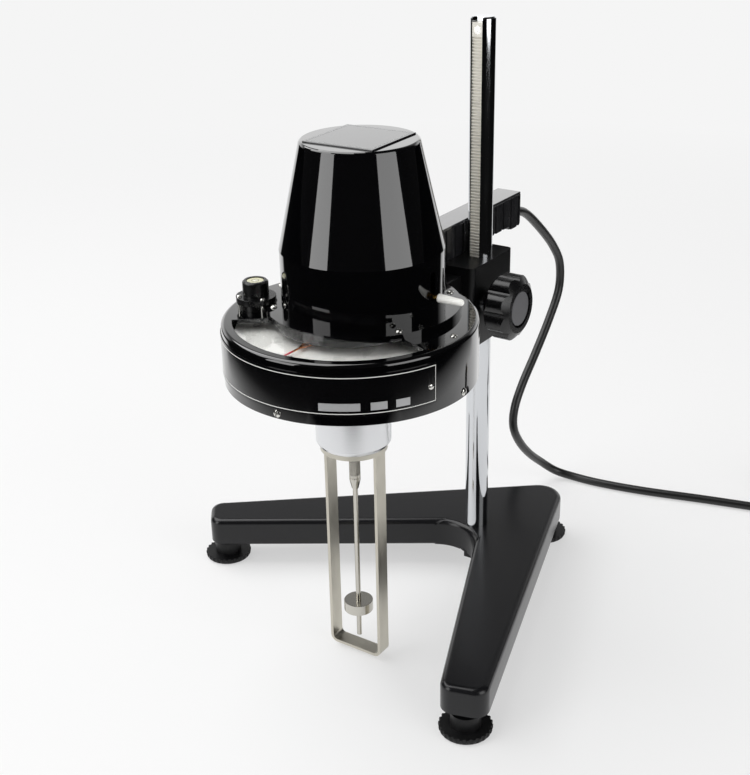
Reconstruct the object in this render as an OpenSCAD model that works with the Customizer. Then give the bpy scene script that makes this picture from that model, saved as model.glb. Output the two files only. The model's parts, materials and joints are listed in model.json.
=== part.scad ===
// Rotational viscometer with a dial head on a rack and pinion stand.
// Millimetres, +Z up. The column stands at the local origin and the head
// reaches out along -Y. The whole model is then moved so that the middle of
// its footprint is the origin.

/* [Stand] */
// Thickness of the base casting
base_t = 20; // [16:1:26]
// Height of the casting's underside above the table
base_lift = 17; // [15:1:22]
// Distance between the two front feet
foot_spread = 262; // [240:2:290]
// Distance of the front feet ahead of the column
foot_front = 129; // [115:1:145]
// Distance of the rear foot behind the column
foot_rear = 70; // [60:1:80]
// Turn of the base under the column, in degrees
base_turn = 17.5; // [0:0.5:25]
// Width of a leg at its tip
leg_w = 30; // [28:1:36]
// How far a leg runs past its foot
leg_reach = 11; // [9:1:16]
// Radius of the rounded upper edges of the casting
base_edge = 4; // [2:0.5:6]
// Diameter of a levelling foot
foot_d = 33; // [30:1:38]
// Height of a levelling foot's knurled disc
foot_h = 14; // [12:0.5:14.5]
// Diameter of a levelling foot's screw
foot_screw_d = 8; // [6:1:10]

/* [Column] */
// Diameter of the column
column_d = 16; // [16:0.5:20]
// Height of the column's top above the table
column_top = 390; // [380:5:440]
// Depth of the column's socket in the base
socket_h = 12; // [8:1:14]
// Diameter of the threaded stud under the column
stud_d = 10; // [8:1:12]
// Width of the rack
rack_w = 7; // [6:0.5:8]
// Distance between two rack teeth
tooth_pitch = 2; // [1.8:0.1:2.2]
// Number of teeth on the pinion
pinion_teeth = 14; // [12:1:16]

/* [Clamp block] */
// Width of the clamp block
block_w = 51; // [48:1:56]
// Depth of the clamp block
block_l = 53; // [46:1:58]
// Height of the clamp block
block_h = 54.5; // [46:0.5:60]
// Distance of the block's front face ahead of the column
block_front = 30; // [26:1:34]
// Height of the pinion's axis above the block's underside
pinion_rise = 27; // [24:1:30]
// Diameter of the height knob
knob_d = 43; // [34:1:46]
// Length of the height knob's lobed head
knob_l = 17; // [14:1:20]
// Number of lobes on the height knob
knob_lobes = 8; // [6:1:10]

/* [Housing] */
// Height of the housing's underside above the table
head_z = 200; // [198:1:212]
// Distance of the spindle's axis ahead of the column
head_reach = 129.4; // [124:0.2:140]
// Distance of the spindle's axis to the left of the column
head_side = 13.5; // [12:0.5:16]
// Diameter of the housing
housing_d = 151.4; // [146:0.2:156]
// Height of the housing
housing_h = 36; // [34:1:40]
// Wall of the housing
housing_wall = 3; // [2.5:0.5:4]
// Width of the housing's rim outside the window
window_rim = 6.7; // [5.5:0.1:9]
// Width of the window opening, from its outer to its inner edge
window_w = 25; // [20:0.5:27]
// Angle at which the window starts, in degrees
window_from = -142; // [-150:1:-135]
// Angle at which the window ends, in degrees
window_to = -19; // [-30:1:-10]
// Thickness of the window glass
window_t = 2; // [1.5:0.5:3]
// Height of the nameplate
nameplate_h = 24.6; // [20:0.2:26]
// Half of the angle that the nameplate wraps round, in degrees
nameplate_half = 73; // [60:1:80]

/* [Motor cover] */
// Distance of the cover's axis behind the spindle's axis
cap_back = 14; // [12:0.5:16]
// How much wider the housing is than the cover's skirt
cap_step = 54.2; // [50:0.2:60]
// Diameter of the cover's top
cap_top_d = 69; // [62:1:76]
// Height of the cover's skirt above its ring
skirt_h = 34.7; // [32:0.1:38]
// Height of the cover above its ring
cap_h = 97.5; // [92:0.5:104]
// Wall of the cover
cap_wall = 2; // [1.5:0.5:3]
// How far the ring under the cover stands out from its skirt
ring_flange = 9.4; // [8.6:0.2:11]
// Thickness of the ring under the cover
ring_t = 4; // [3:0.5:5]
// Side of the square plate on top of the cover
top_plate_w = 46.5; // [40:0.5:48]

/* [Spindle] */
// Diameter of the collar under the housing
boss_d = 46.4; // [46:0.2:52]
// Height of the collar under the housing
boss_h = 47; // [40:1:52]
// Height of the guard's underside above the table
guard_z = 3; // [2.5:0.5:8]
// Width across the guard's two bars
guard_w = 39; // [34:1:39]
// Thickness of the guard's strip
guard_t = 2; // [1.5:0.5:3]
// Width of the guard's strip
strip_w = 10; // [8:1:12]
// Diameter of the spindle's shaft
spindle_d = 3.2; // [2.8:0.2:3.6]
// Diameter of the spindle's rotor disc
rotor_d = 18.7; // [16:0.1:20]
// Height of the spindle's rotor disc
rotor_h = 6.9; // [5:0.1:9]
// Length of the shaft below the rotor disc
rotor_tail = 20; // [14:1:22]
// Clearance between the spindle's tip and the guard's crossbar
tip_gap = 7; // [5:0.5:10]

/* [Handle] */
// Width of the handle
handle_w = 18; // [14:1:18]
// Height of the handle
handle_h = 21.5; // [20:0.5:26]
// Distance of the handle's rear end behind the column
handle_rear = 75; // [65:1:80]
// Distance between the handle's flutes
flute_pitch = 10.8; // [9:0.1:14]

/* [Cord] */
// Diameter of the mains cord
cord_d = 6.5; // [6:0.5:7]

/* [Hidden] */

$fn = 64;
// Clearance of a turning or sliding fit, on the radius
run_gap = 0.05;
// Clearance between two bodies that pass each other
pass_gap = 0.4;
// A cut runs this far past the face it opens
over = 1;

// Base
base_top = base_lift + base_t;
tip_r = 9;
apex_r = 16;
hub_r = 12;
hub_x = 17.2;
hub_y = 1.4;
apex_y = foot_rear - 6;
leg_dx = foot_spread / 2;
leg_dy = foot_front + apex_y;
leg_len = norm([leg_dx, leg_dy]);
leg_u = [leg_dx / leg_len, -leg_dy / leg_len];
leg_n = [leg_dy / leg_len, leg_dx / leg_len];
tip_c = [foot_spread / 2, -foot_front] + leg_u * (leg_reach - tip_r);
tip_out = tip_c + leg_n * (leg_w / 2 - tip_r);
tip_in = tip_c - leg_n * (leg_w / 2 - tip_r);
// The inner edge of a leg: it touches the hub's and the tip's inner corners
edge_len = norm(tip_in - [hub_x, hub_y]);
edge_lean = asin((hub_r - tip_r) / edge_len);
edge_a = atan2(tip_in[1] - hub_y, tip_in[0] - hub_x) + edge_lean;
edge_n = [-sin(edge_a), cos(edge_a)];
edge_p = [hub_x, hub_y] - edge_n * hub_r;
// The arch in front of the column touches both inner edges
arch_half = 90 + edge_a;
arch_r = 27;
vee_y = edge_p[1] - edge_p[0] * tan(edge_a);
arch_y = vee_y - arch_r / sin(arch_half);

// Column and rack
block_drop = 16;
column_r = column_d / 2;
column_foot = base_top - socket_h;
rack_tip = sqrt(pow(column_r, 2) - pow(rack_w / 2, 2)) - 0.04;
rack_t = 3.2;
rack_pad = 9;
rack_end_gap = 3;
rack_top = column_top - rack_end_gap;
rack_below = 3;
rack_reach = rack_top - 2 * rack_pad - (head_z - block_drop - rack_below);
rack_teeth = floor(rack_reach / tooth_pitch);
rack_low = rack_top - 2 * rack_pad - rack_teeth * tooth_pitch;
tooth_add = 0.255 * tooth_pitch;
tooth_ded = 0.32 * tooth_pitch;
pinion_r = pinion_teeth * tooth_pitch / (2 * PI);
pinion_y = -(rack_tip - tooth_add + pinion_r);
rack_screw_d = 5;
// Head radius, head height, shank radius and shank length of the small screws
housing_screw = [2.4, 1.1, 1.5, 5];
window_screw = [2.1, 1.2, 1.2, 4];
ring_screw = [2.2, 1.5, 1.3, 4];
level_screw = [1.6, 1.3, 0.8, 2.5];
nut_af = 17;
nut_h = 6;
washer_t = 1.5;
washer_d = 24;

// Clamp block
block_z = head_z - block_drop;
block_x = 12 - block_w;
block_y = block_l - block_front;
block_top = block_z + block_h;
block_corner = 4;
pinion_z = block_z + pinion_rise;
pinion_shaft_r = 3;
pinion_from = -12;
bush_r = 7;
bush_t = 1.5;
knob_x = block_x + block_w + bush_t + pass_gap;
knob_neck = 6;
knob_neck_r = 9;
knob_end = knob_x + knob_neck + knob_l;
knob_cap_r = 0.26 * knob_d;
knob_turn = 180 / knob_lobes;

// Housing
disc = [-head_side, -head_reach];
cap_c = disc + [0, cap_back];
housing_r = housing_d / 2;
housing_top = head_z + housing_h;
inside_top = housing_top - housing_wall;
inside_r = housing_r - housing_wall;
window_r = housing_r - window_rim;
window_inner_r = window_r - window_w;
floor_t = 3;
window_lap = 2.5;
floor_rim = 6;
screw_z = head_z + 3.3;
plate_t = 0.5;
plate_gap = 0.12;
nameplate_z = head_z + 5.8;
rivet_z = nameplate_z + nameplate_h / 2 - 1.5;
rivet_r = 0.9;
rivet_a = [-90 - nameplate_half + 3, -90 + nameplate_half - 3];
throat_r = 22;
housing_screw_a = [-88, 2, 182];
window_screw_a = [2, 163];
window_screw_r = housing_r - 6.7;

// Motor cover and what it covers
ring_top = housing_top + ring_t;
cap_r = (housing_d - cap_step) / 2;
ring_r = cap_r + ring_flange;
cap_inner = cap_r - cap_wall;
cap_top = ring_top + cap_h;
knee_z = ring_top + skirt_h;
top_plate_t = 0.8;
top_plate_turn = 2;
spigot_r = cap_inner - run_gap;
spigot_t = 1.8;
ring_screw_r = (ring_r + cap_r) / 2;
ring_screw_a = [-138, -34, 47, 141];
lower_plate_z = ring_top + 3;
gear_plate_t = 3;
upper_plate_z = lower_plate_z + 19;
gear_plate_r = cap_inner - spigot_t - 2;
post_r = 3.5;
pillar_r = gear_plate_r - 5;
pillar_a = [60, 180, 300];
dial_gear_z = lower_plate_z + gear_plate_t + 4;
motor_gear_z = dial_gear_z + 6;
gear_t = 4;
gear_pitch = 0.8 * PI;
small_teeth = 12;
big_teeth = 33;
small_r = small_teeth * gear_pitch / (2 * PI);
big_r = big_teeth * gear_pitch / (2 * PI);
gear_reach = small_r + big_r;
lay_c = disc + [sqrt(pow(gear_reach, 2) - pow(cap_back / 2, 2)), cap_back / 2];
shaft_r = 2;
motor_r = 26;
motor_h = 40;
yoke_z = inside_top + 1.5;
yoke_t = 3.5;
yoke_r = 18;
dial_z = inside_top - 7;
dial_t = 1.2;
dial_r = window_r - 1;
dial_hole_r = 5;
pointer_z = dial_z + dial_t + 1.8;
pointer_t = 0.8;
pointer_a = -93;
yoke_a = pointer_a - 30;
yoke_w = 6;
spring_z = dial_z - 5;
spring_h = 1.5;
spring_r = 11;
spring_turns = 3;
collet_r = 3;

// Collar, guard and spindle
boss_z = head_z - boss_h;
boss_r = boss_d / 2;
recess_h = 5;
recess_r = guard_w / 2 + 1.4;
guard_ring_r = recess_r - run_gap;
guard_ring_low = boss_z - 3;
guard_ring_t = 3.5;
guard_corner = 5;
boss_bore_r = 6;
bearing_h = 4;
pivot_r = 1.5;
coupling_z = boss_z - 32;
coupling_top = boss_z - 11;
coupling_r = 3.5;
pivot_low = coupling_z + 11;
spindle_r = spindle_d / 2;
spindle_tip = guard_z + guard_t + tip_gap;
rotor_z = spindle_tip + rotor_tail;

// Level
level_reach = housing_r - 17.8;
level_at = disc + level_reach * [cos(-161), sin(-161)];
level_flange_r = 12;
level_flange_t = 8;
level_groove = 1;
level_r = 7.8;
level_h = 17.5;
level_screw_r = 10.2;
level_screw_a = [-130, -30, 100];
vial_r = 5.2;
vial_h = 6;

// Lever and speed knob
lever_a = -0.5;
lever_z = lower_plate_z + 9;
lever_r = 1.6;
lever_pivot = cap_inner - 12;
lever_out = cap_r + 20.3;
lever_up = 12;
sleeve_r = 2.6;
sleeve_tip_r = 2;
sleeve_l = 16.5;
slot_w = 5;
speed_a = 152;
speed_z = lower_plate_z + 11;
speed_r = 12;
speed_l = 15;

// Handle
handle_x = -handle_w - column_r - 2.5;
handle_z = block_top + 1;
handle_top = handle_z + handle_h;
handle_front = cap_c[1] + 30;
cover_t = 2;
handle_end_l = 3.4;
flute_r = 1.4;
heel_l = 14;
heel_h = 2.6;
switch_y = 24;
switch_r = 12;
switch_h = 10;
switch_out = 1.6;
relief_in = 12;
relief_l = 9;
relief_r = 4.6;
relief_bore = 6;
cord_exit = [handle_x + handle_w / 2, handle_rear, handle_z - heel_h + relief_r + 1.2];

// Cord
cord_r = cord_d / 2;
cord_sides = 10;
cord_floor = 3.6;
// The route's points, chosen by hand, from the strain relief to the coil
cord_route = concat([cord_exit + [0, relief_l - relief_bore, 0], cord_exit + [0, relief_l + 5, -0.6]],
    [[-20, 105, 235], [-20, 129, 217], [-20, 149, 199], [-20, 161.5, 181.5], [-20, 161.5, 160],
    [-20, 146, 139.6], [-20, 125.5, 119.5], [-20, 105, 101], [-20, 93, 85], [-20, 92, 69],
    [-20, 103, 51.5], [-19.6, 119.5, 34.5], [-18, 137.5, 19.5], [-11, 149.5, 8.2], [2, 154.5, 4.2],
    [26, 156.5, cord_floor], [62, 163, cord_floor], [107, 175, cord_floor], [152, 186, cord_floor],
    [200, 198, cord_floor]]);
coil_w = 3 * cord_d;
coil_h = 2 * cord_d;
coil_out = 47;
coil_r = coil_out - cord_r;
cord_end = cord_route[len(cord_route) - 1];
cord_dir = unit(cord_end - cord_route[len(cord_route) - 2]);
coil_at = [cord_end[0] - coil_r * cord_dir[1], cord_end[1] + coil_r * cord_dir[0]];
plug_w = 24;
plug_l = 32;
plug_h = 15;
plug_tail = 26;
plug_ahead = 46;
plug_at = [coil_at[0] + coil_r, coil_at[1] + plug_ahead];
pin_w = 6.3;
pin_t = 1.6;
pin_l = 18;
pin_gap = 8;

// The footprint's middle, without the cord and the plug
turned_left = turn_base([-foot_spread / 2, -foot_front]);
turned_right = turn_base([foot_spread / 2, -foot_front]);
turned_rear = turn_base([0, foot_rear]);
low_x = turned_left[0] - foot_d / 2;
high_x = max(turned_right[0] + foot_d / 2, disc[0] + housing_r + plate_t);
low_y = min(disc[1] - housing_r - plate_t, turned_right[1] - foot_d / 2);
high_y = max(turned_rear[1] + foot_d / 2, handle_rear);
shift = [-(low_x + high_x) / 2, -(low_y + high_y) / 2, 0];

function turn_base(p) = [p[0] * cos(base_turn) + p[1] * sin(base_turn),
    p[1] * cos(base_turn) - p[0] * sin(base_turn)];
function polar(r, a) = [r * cos(a), r * sin(a)];
function arc(c, r, a0, a1, n = 8) = [for (i = [0:n]) c + polar(r, a0 + (a1 - a0) * i / n)];
function flat(p, z) = [p[0], p[1], z];
function unit(v) = v / norm(v);

// Places the whole model with the middle of its footprint at the origin
module placed() {
    translate(shift) children();
}

// Places a piece of the base, which is turned under the column
module on_base() {
    placed() rotate([0, 0, -base_turn]) children();
}

// Places a piece on the spindle's axis
module on_disc() {
    placed() translate(flat(disc, 0)) children();
}

// Places a piece on the motor cover's axis
module on_cap() {
    placed() translate(flat(cap_c, 0)) children();
}

// A slice of a ring between two angles
module ring_slice(r0, r1, a0, a1) {
    steps = 24;
    intersection() {
        difference() {
            circle(r1);
            circle(r0);
        }
        polygon(concat([[0, 0]], [for (i = [0:steps]) polar(2 * r1, a0 + (a1 - a0) * i / steps)]));
    }
}

module tube(r0, r1, h) {
    difference() {
        cylinder(r = r1, h = h);
        translate([0, 0, -over]) cylinder(r = r0, h = h + 2 * over);
    }
}

// A rectangle with round corners
module soft_rect(size, r) {
    translate([r, 0]) square([size[0] - 2 * r, size[1]]);
    translate([0, r]) square([size[0], size[1] - 2 * r]);
    for (x = [r, size[0] - r], y = [r, size[1] - r]) translate([x, y]) circle(r);
}

// A round-headed screw, its head resting on z = 0
module dome_screw(s) {
    head_r = s[0];
    head_h = s[1];
    rotate_extrude() polygon(concat([[0, -s[3]], [s[2], -s[3]], [s[2], 0], [head_r, 0]],
        [for (i = [1:5]) [head_r * cos(18 * i), head_h * sin(18 * i)]]));
}

// A straight-flanked gear with a tooth centred on +X
module gear(teeth, pitch, h) {
    r = teeth * pitch / (2 * PI);
    tip = r + 0.255 * pitch;
    root = r - 0.32 * pitch;
    tip_half = 0.12 * pitch / tip * 180 / PI;
    root_half = 0.31 * pitch / root * 180 / PI;
    linear_extrude(h) polygon([for (i = [0:teeth - 1]) let (a = 360 * i / teeth)
        each [polar(root, a - root_half), polar(tip, a - tip_half),
            polar(tip, a + tip_half), polar(root, a + root_half)]]);
}

// One corner of the casting: a disc with a round upper edge
module base_puck(p, r) {
    translate(flat(p, base_lift)) rotate_extrude($fn = 32)
        polygon(concat([[0, 0], [r - 1, 0], [r, 1]],
            arc([r - base_edge, base_t - base_edge], base_edge, 0, 90, 5), [[0, base_t]]));
}

// One leg, from the rear corner past the hub to its tip
module base_leg(side) {
    hull() {
        base_puck([0, apex_y], apex_r);
        base_puck([side * hub_x, hub_y], hub_r);
        base_puck([side * tip_in[0], tip_in[1]], tip_r);
        base_puck([side * tip_out[0], tip_out[1]], tip_r);
    }
}

// The arch in front of the column, with a round upper edge
module base_arch() {
    half = arch_r * cos(arch_half);
    low = arch_y + arch_r * sin(arch_half);
    difference() {
        translate([0, 0, base_lift]) linear_extrude(base_t)
            polygon([[-half, low], [half, low], [hub_x - 4, hub_y - 3], [4 - hub_x, hub_y - 3]]);
        translate([0, arch_y, base_lift - over]) cylinder(r = arch_r, h = base_t + 2 * over);
        translate([0, arch_y, base_top - base_edge]) rotate_extrude()
            polygon(concat([[0, over + base_edge], [0, 0]],
                arc([arch_r + base_edge, 0], base_edge, 180, 90, 5),
                [[arch_r + base_edge, over + base_edge]]));
    }
}

module base_casting() {
    color("#1c1c1d") on_base() difference() {
        union() {
            base_leg(1);
            base_leg(-1);
            hull() {
                base_puck([0, apex_y], apex_r);
                base_puck([hub_x, hub_y], hub_r);
                base_puck([-hub_x, hub_y], hub_r);
            }
            base_arch();
        }
        translate([0, 0, column_foot]) cylinder(r = column_r + run_gap, h = base_t);
        translate([0, 0, base_lift - over]) cylinder(r = stud_d / 2 + 0.3, h = base_t);
        translate([0, 0, base_lift - over]) cylinder(r = washer_d / 2 + 0.5, h = washer_t + over);
        for (p = [[-foot_spread / 2, -foot_front], [foot_spread / 2, -foot_front], [0, foot_rear]])
            translate(flat(p, base_lift - over)) cylinder(r = foot_screw_d / 2 + run_gap, h = base_t - 5);
    }
}

module column() {
    top_edge = 1;
    color("#c9ccd0") placed() difference() {
        union() {
            translate([0, 0, column_foot]) rotate_extrude()
                polygon([[0, 0], [column_r, 0], [column_r, column_top - column_foot - top_edge],
                    [column_r - top_edge, column_top - column_foot], [0, column_top - column_foot]]);
            translate([0, 0, base_lift - nut_h - 1.5])
                cylinder(r = stud_d / 2, h = column_foot - base_lift + nut_h + 1.6);
        }
        translate([-rack_w / 2, -column_r - over, rack_low])
            cube([rack_w, column_r + over - rack_tip + rack_t, column_top]);
    }
}

module rack() {
    tip_half = 0.12 * tooth_pitch;
    root_half = 0.31 * tooth_pitch;
    root = rack_tip - tooth_add - tooth_ded;
    first = rack_low + rack_pad + tooth_pitch / 2;
    color("#b9a77c") placed() difference() {
        translate([-rack_w / 2, 0, 0]) rotate([90, 0, 90]) linear_extrude(rack_w)
            polygon(concat([[rack_t - rack_tip, rack_low], [-rack_tip, rack_low],
                [-rack_tip, rack_low + rack_pad - 0.4], [-root, rack_low + rack_pad]],
                [for (i = [0:rack_teeth - 1]) let (z = first + i * tooth_pitch)
                    each [[-root, z - root_half], [-rack_tip, z - tip_half],
                        [-rack_tip, z + tip_half], [-root, z + root_half]]],
                [[-root, rack_top - rack_pad], [-rack_tip, rack_top - rack_pad + 0.4],
                    [-rack_tip, rack_top], [rack_t - rack_tip, rack_top]]));
        for (z = [rack_low + rack_pad / 2, rack_top - rack_pad / 2])
            translate([0, -rack_tip - over, z]) rotate([-90, 0, 0])
                cylinder(r = rack_screw_d / 2 + run_gap, h = over + 1.5);
    }
}

module rack_screws() {
    color("#b9bcc0") placed() for (z = [rack_low + rack_pad / 2, rack_top - rack_pad / 2])
        translate([0, -rack_tip + 0.2, z]) rotate([-90, 0, 0]) cylinder(r = rack_screw_d / 2, h = 1.3);
}

module column_washer() {
    color("#a8abae") placed() translate([0, 0, base_lift])
        tube(stud_d / 2 + run_gap, washer_d / 2, washer_t);
}

module column_nut() {
    color("#a8abae") placed() translate([0, 0, base_lift - nut_h]) difference() {
        cylinder(r = nut_af / sqrt(3), h = nut_h, $fn = 6);
        translate([0, 0, -over]) cylinder(r = stud_d / 2 + run_gap, h = nut_h + 2 * over);
    }
}

// A levelling foot: a knurled disc on a screw
module foot(p) {
    flutes = 26;
    flute_r = 1.5;
    r = foot_d / 2;
    color("#161617") on_base() translate(flat(p, 0)) {
        difference() {
            rotate_extrude() polygon(concat([[0, 0], [r - 5, 0]], arc([r - 3, 3], 3, -90, 0, 4),
                [[r, foot_h - 1], [r - 1, foot_h], [0, foot_h]]));
            for (i = [0:flutes - 1]) rotate([0, 0, (i + 0.5) * 360 / flutes + base_turn])
                translate([r + 0.4, 0, -over]) cylinder(r = flute_r, h = foot_h + 2 * over, $fn = 16);
        }
        cylinder(r = foot_screw_d / 2, h = base_top - 8);
    }
}

module foot_left() {
    foot([-foot_spread / 2, -foot_front]);
}

module foot_right() {
    foot([foot_spread / 2, -foot_front]);
}

module foot_rear() {
    foot([0, foot_rear]);
}

module clamp_block() {
    color("#141415") placed() difference() {
        translate([block_x, -block_front, block_z]) linear_extrude(block_h)
            soft_rect([block_w, block_l], block_corner);
        translate([0, 0, block_z - over]) cylinder(r = column_r + run_gap, h = block_h + 2 * over);
        translate([pinion_from - 0.3, pinion_y, pinion_z]) rotate([0, 90, 0])
            cylinder(r = pinion_shaft_r + run_gap, h = block_w);
        translate([-rack_w / 2 - 1, pinion_y, pinion_z]) rotate([0, 90, 0])
            cylinder(r = pinion_r + tooth_add + pass_gap, h = block_w);
        translate([block_x - over, 0, pinion_z]) rotate([0, 90, 0])
            cylinder(r = 3 + run_gap, h = -block_x);
    }
}

// Joins the clamp block to the back of the housing
module head_bracket() {
    w = 34;
    h = 30;
    color("#161617") placed() difference() {
        translate([disc[0] - w / 2, disc[1] + housing_r - 8, head_z + 3])
            cube([w, -block_front - disc[1] - housing_r + 8, h]);
        translate(flat(disc, head_z - over)) cylinder(r = housing_r, h = housing_h + 2 * over);
    }
}

// Socket-head screws that hold the block to its bracket
module bracket_screws() {
    z0 = head_z + 9;
    color("#2b2c2e") placed() for (x = [-11, 11], z = [z0, z0 + 18])
        translate([disc[0] + x, block_y, z]) rotate([-90, 0, 0]) difference() {
            cylinder(r = 4, h = 4);
            translate([0, 0, 2]) cylinder(r = 2, h = 3, $fn = 6);
        }
}

module pinion_bush() {
    depth = 5;
    out_x = block_x + block_w;
    color("#c4c7ca") placed() translate([out_x - depth, pinion_y, pinion_z]) rotate([0, 90, 0])
        difference() {
            union() {
                cylinder(r = pinion_r + tooth_add + pass_gap - run_gap, h = depth);
                translate([0, 0, depth]) cylinder(r = bush_r, h = bush_t);
            }
            translate([0, 0, -over]) cylinder(r = pinion_shaft_r + run_gap, h = depth + bush_t + 2 * over);
        }
}

module pinion_shaft() {
    color("#b4b7ba") placed() translate([pinion_from, pinion_y, pinion_z]) rotate([0, 90, 0]) {
        cylinder(r = pinion_shaft_r, h = knob_end - 6 - pinion_from);
        translate([0, 0, -pinion_from - rack_w / 2])
            rotate([0, 0, 90 + 180 / pinion_teeth * pinion_phase()])
            gear(pinion_teeth, tooth_pitch, rack_w);
    }
}

// Half turns of a tooth that bring a pinion gap opposite a rack tooth
function pinion_phase() = let (first = rack_low + rack_pad + tooth_pitch / 2)
    1 - 2 * ((pinion_z - first) / tooth_pitch - floor((pinion_z - first) / tooth_pitch));

// The lobed knob that raises and lowers the head
module height_knob() {
    r = knob_d / 2;
    lobe_r = r * sin(180 / knob_lobes) * 0.86;
    color("#151516") placed() translate([knob_x, pinion_y, pinion_z]) rotate([0, 90, 0])
        difference() {
            union() {
                cylinder(r = knob_neck_r, h = knob_neck + 2);
                translate([0, 0, knob_neck]) intersection() {
                    union() {
                        cylinder(r = r * 0.86, h = knob_l);
                        for (i = [0:knob_lobes - 1]) rotate([0, 0, knob_turn + i * 360 / knob_lobes])
                            translate([r - lobe_r, 0, 0]) cylinder(r = lobe_r, h = knob_l);
                    }
                    rotate_extrude() polygon([[0, 0], [r - 3, 0], [r, 3], [r, knob_l - 3.5],
                        [0.75 * r, knob_l], [0, knob_l]]);
                }
            }
            translate([0, 0, -over]) cylinder(r = pinion_shaft_r + run_gap,
                h = knob_neck + knob_l - 6 + run_gap + over);
            translate([0, 0, knob_neck + knob_l - 2]) cylinder(r = knob_cap_r + 1.5, h = 3);
        }
}

module knob_cap() {
    color("#7d7f82") placed() translate([knob_end - 2, pinion_y, pinion_z]) rotate([0, 90, 0])
        cylinder(r = knob_cap_r, h = 1.6);
}

// The knurled screw that sets how tightly the block grips the column
module tension_screw() {
    reach = -block_x - column_r - pass_gap;
    color("#b0b3b6") placed() translate([block_x + reach, 0, pinion_z]) rotate([0, -90, 0]) {
        cylinder(r = 3, h = reach + 2);
        translate([0, 0, reach + 1]) difference() {
            cylinder(r = 9, h = 10);
            for (i = [0:23]) rotate([0, 0, i * 15]) translate([9.3, 0, -over])
                cylinder(r = 0.8, h = 12, $fn = 16);
        }
    }
}

module housing_shell() {
    edge = 2.5;
    color("#131314") on_disc() difference() {
        rotate_extrude() polygon(concat([[inside_r, head_z], [housing_r, head_z]],
            arc([housing_r - edge, housing_top - edge], edge, 0, 90, 5),
            [[throat_r, housing_top], [throat_r, inside_top], [inside_r, inside_top]]));
        translate([0, 0, inside_top - over]) linear_extrude(housing_wall + 2 * over)
            ring_slice(window_inner_r, window_r, window_from, window_to);
        for (a = housing_screw_a) rotate([0, 0, a]) translate([inside_r - over, 0, screw_z])
            rotate([0, 90, 0]) cylinder(r = housing_screw[2] + run_gap, h = housing_wall + 2 * over);
        for (a = window_screw_a) rotate([0, 0, a]) translate([window_screw_r, 0, inside_top - over])
            cylinder(r = window_screw[2] + run_gap, h = housing_wall + 2 * over);
        rivet_holes();
    }
}

module housing_floor() {
    rim_t = 3;
    color("#1a1a1b") on_disc() difference() {
        rotate_extrude() polygon([[boss_bore_r, head_z], [inside_r - run_gap, head_z],
            [inside_r - run_gap, head_z + floor_t + floor_rim],
            [inside_r - rim_t, head_z + floor_t + floor_rim],
            [inside_r - rim_t, head_z + floor_t], [boss_bore_r, head_z + floor_t]]);
        for (a = housing_screw_a) rotate([0, 0, a]) translate([inside_r - rim_t - over, 0, screw_z])
            rotate([0, 90, 0]) cylinder(r = housing_screw[2] + run_gap, h = rim_t + 2 * over);
    }
}

module housing_screws() {
    color("#d2d4d6") on_disc() for (a = housing_screw_a) rotate([0, 0, a])
        translate([housing_r + 0.1, 0, screw_z]) rotate([0, 90, 0]) dome_screw(housing_screw);
}

module dial_window() {
    color([0.8, 0.85, 0.85, 0.35]) on_disc() translate([0, 0, inside_top - window_t])
        linear_extrude(window_t) ring_slice(window_inner_r - 2 * window_lap, window_r + window_lap,
            window_from - window_lap, window_to + window_lap);
}

module window_screws() {
    color("#d2d4d6") on_disc() for (a = window_screw_a) rotate([0, 0, a])
        translate([window_screw_r, 0, housing_top]) dome_screw(window_screw);
}

module nameplate() {
    color("#101010") on_disc() difference() {
        translate([0, 0, nameplate_z]) linear_extrude(nameplate_h)
            ring_slice(housing_r + plate_gap, housing_r + plate_t, -90 - nameplate_half, -90 + nameplate_half);
        rivet_holes();
    }
}

// The holes for the nameplate's rivets, through the plate and the housing
module rivet_holes() {
    for (a = rivet_a) rotate([0, 0, a]) translate([inside_r - over, 0, rivet_z]) rotate([0, 90, 0])
        cylinder(r = rivet_r + run_gap, h = housing_wall + plate_t + 2 * over);
}

module nameplate_rivets() {
    head_sink = 0.1;
    color("#d2d4d6") on_disc() for (a = rivet_a) rotate([0, 0, a])
        translate([housing_r + plate_t + head_sink, 0, rivet_z]) rotate([0, 90, 0])
            dome_screw([1.9, 0.9, rivet_r, housing_wall + plate_t]);
}

module boss_collar() {
    edge = 3;
    color("#cfd2d5") on_disc() rotate_extrude() polygon([
        [boss_bore_r, head_z], [boss_r, head_z], [boss_r, boss_z + edge], [boss_r - edge / 2, boss_z + 0.6],
        [boss_r - edge / 2 - 0.6, boss_z], [recess_r, boss_z], [recess_r, boss_z + recess_h],
        [boss_bore_r, boss_z + recess_h]]);
}

module lower_bearing() {
    color("#b3873c") on_disc() translate([0, 0, boss_z + recess_h])
        tube(pivot_r + run_gap, boss_bore_r, bearing_h);
}

// The U-shaped strip that keeps the beaker off the spindle, on its ring
module spindle_guard() {
    w = guard_w;
    h = guard_ring_low - guard_z + 2;
    inner_r = guard_corner - guard_t;
    color("#c0c2c0") on_disc() {
        translate([0, 0, guard_ring_low])
            tube(guard_ring_r - guard_ring_t, guard_ring_r, boss_z + recess_h - guard_ring_low);
        translate([-w / 2, strip_w / 2, guard_z]) rotate([90, 0, 0]) linear_extrude(strip_w)
            difference() {
                union() {
                    translate([0, guard_corner]) square([w, h - guard_corner]);
                    soft_rect([w, h - guard_corner], guard_corner);
                }
                translate([guard_t, guard_t + inner_r]) square([w - 2 * guard_t, h]);
                translate([guard_t, guard_t]) soft_rect([w - 2 * guard_t, h], inner_r);
            }
    }
}

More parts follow.
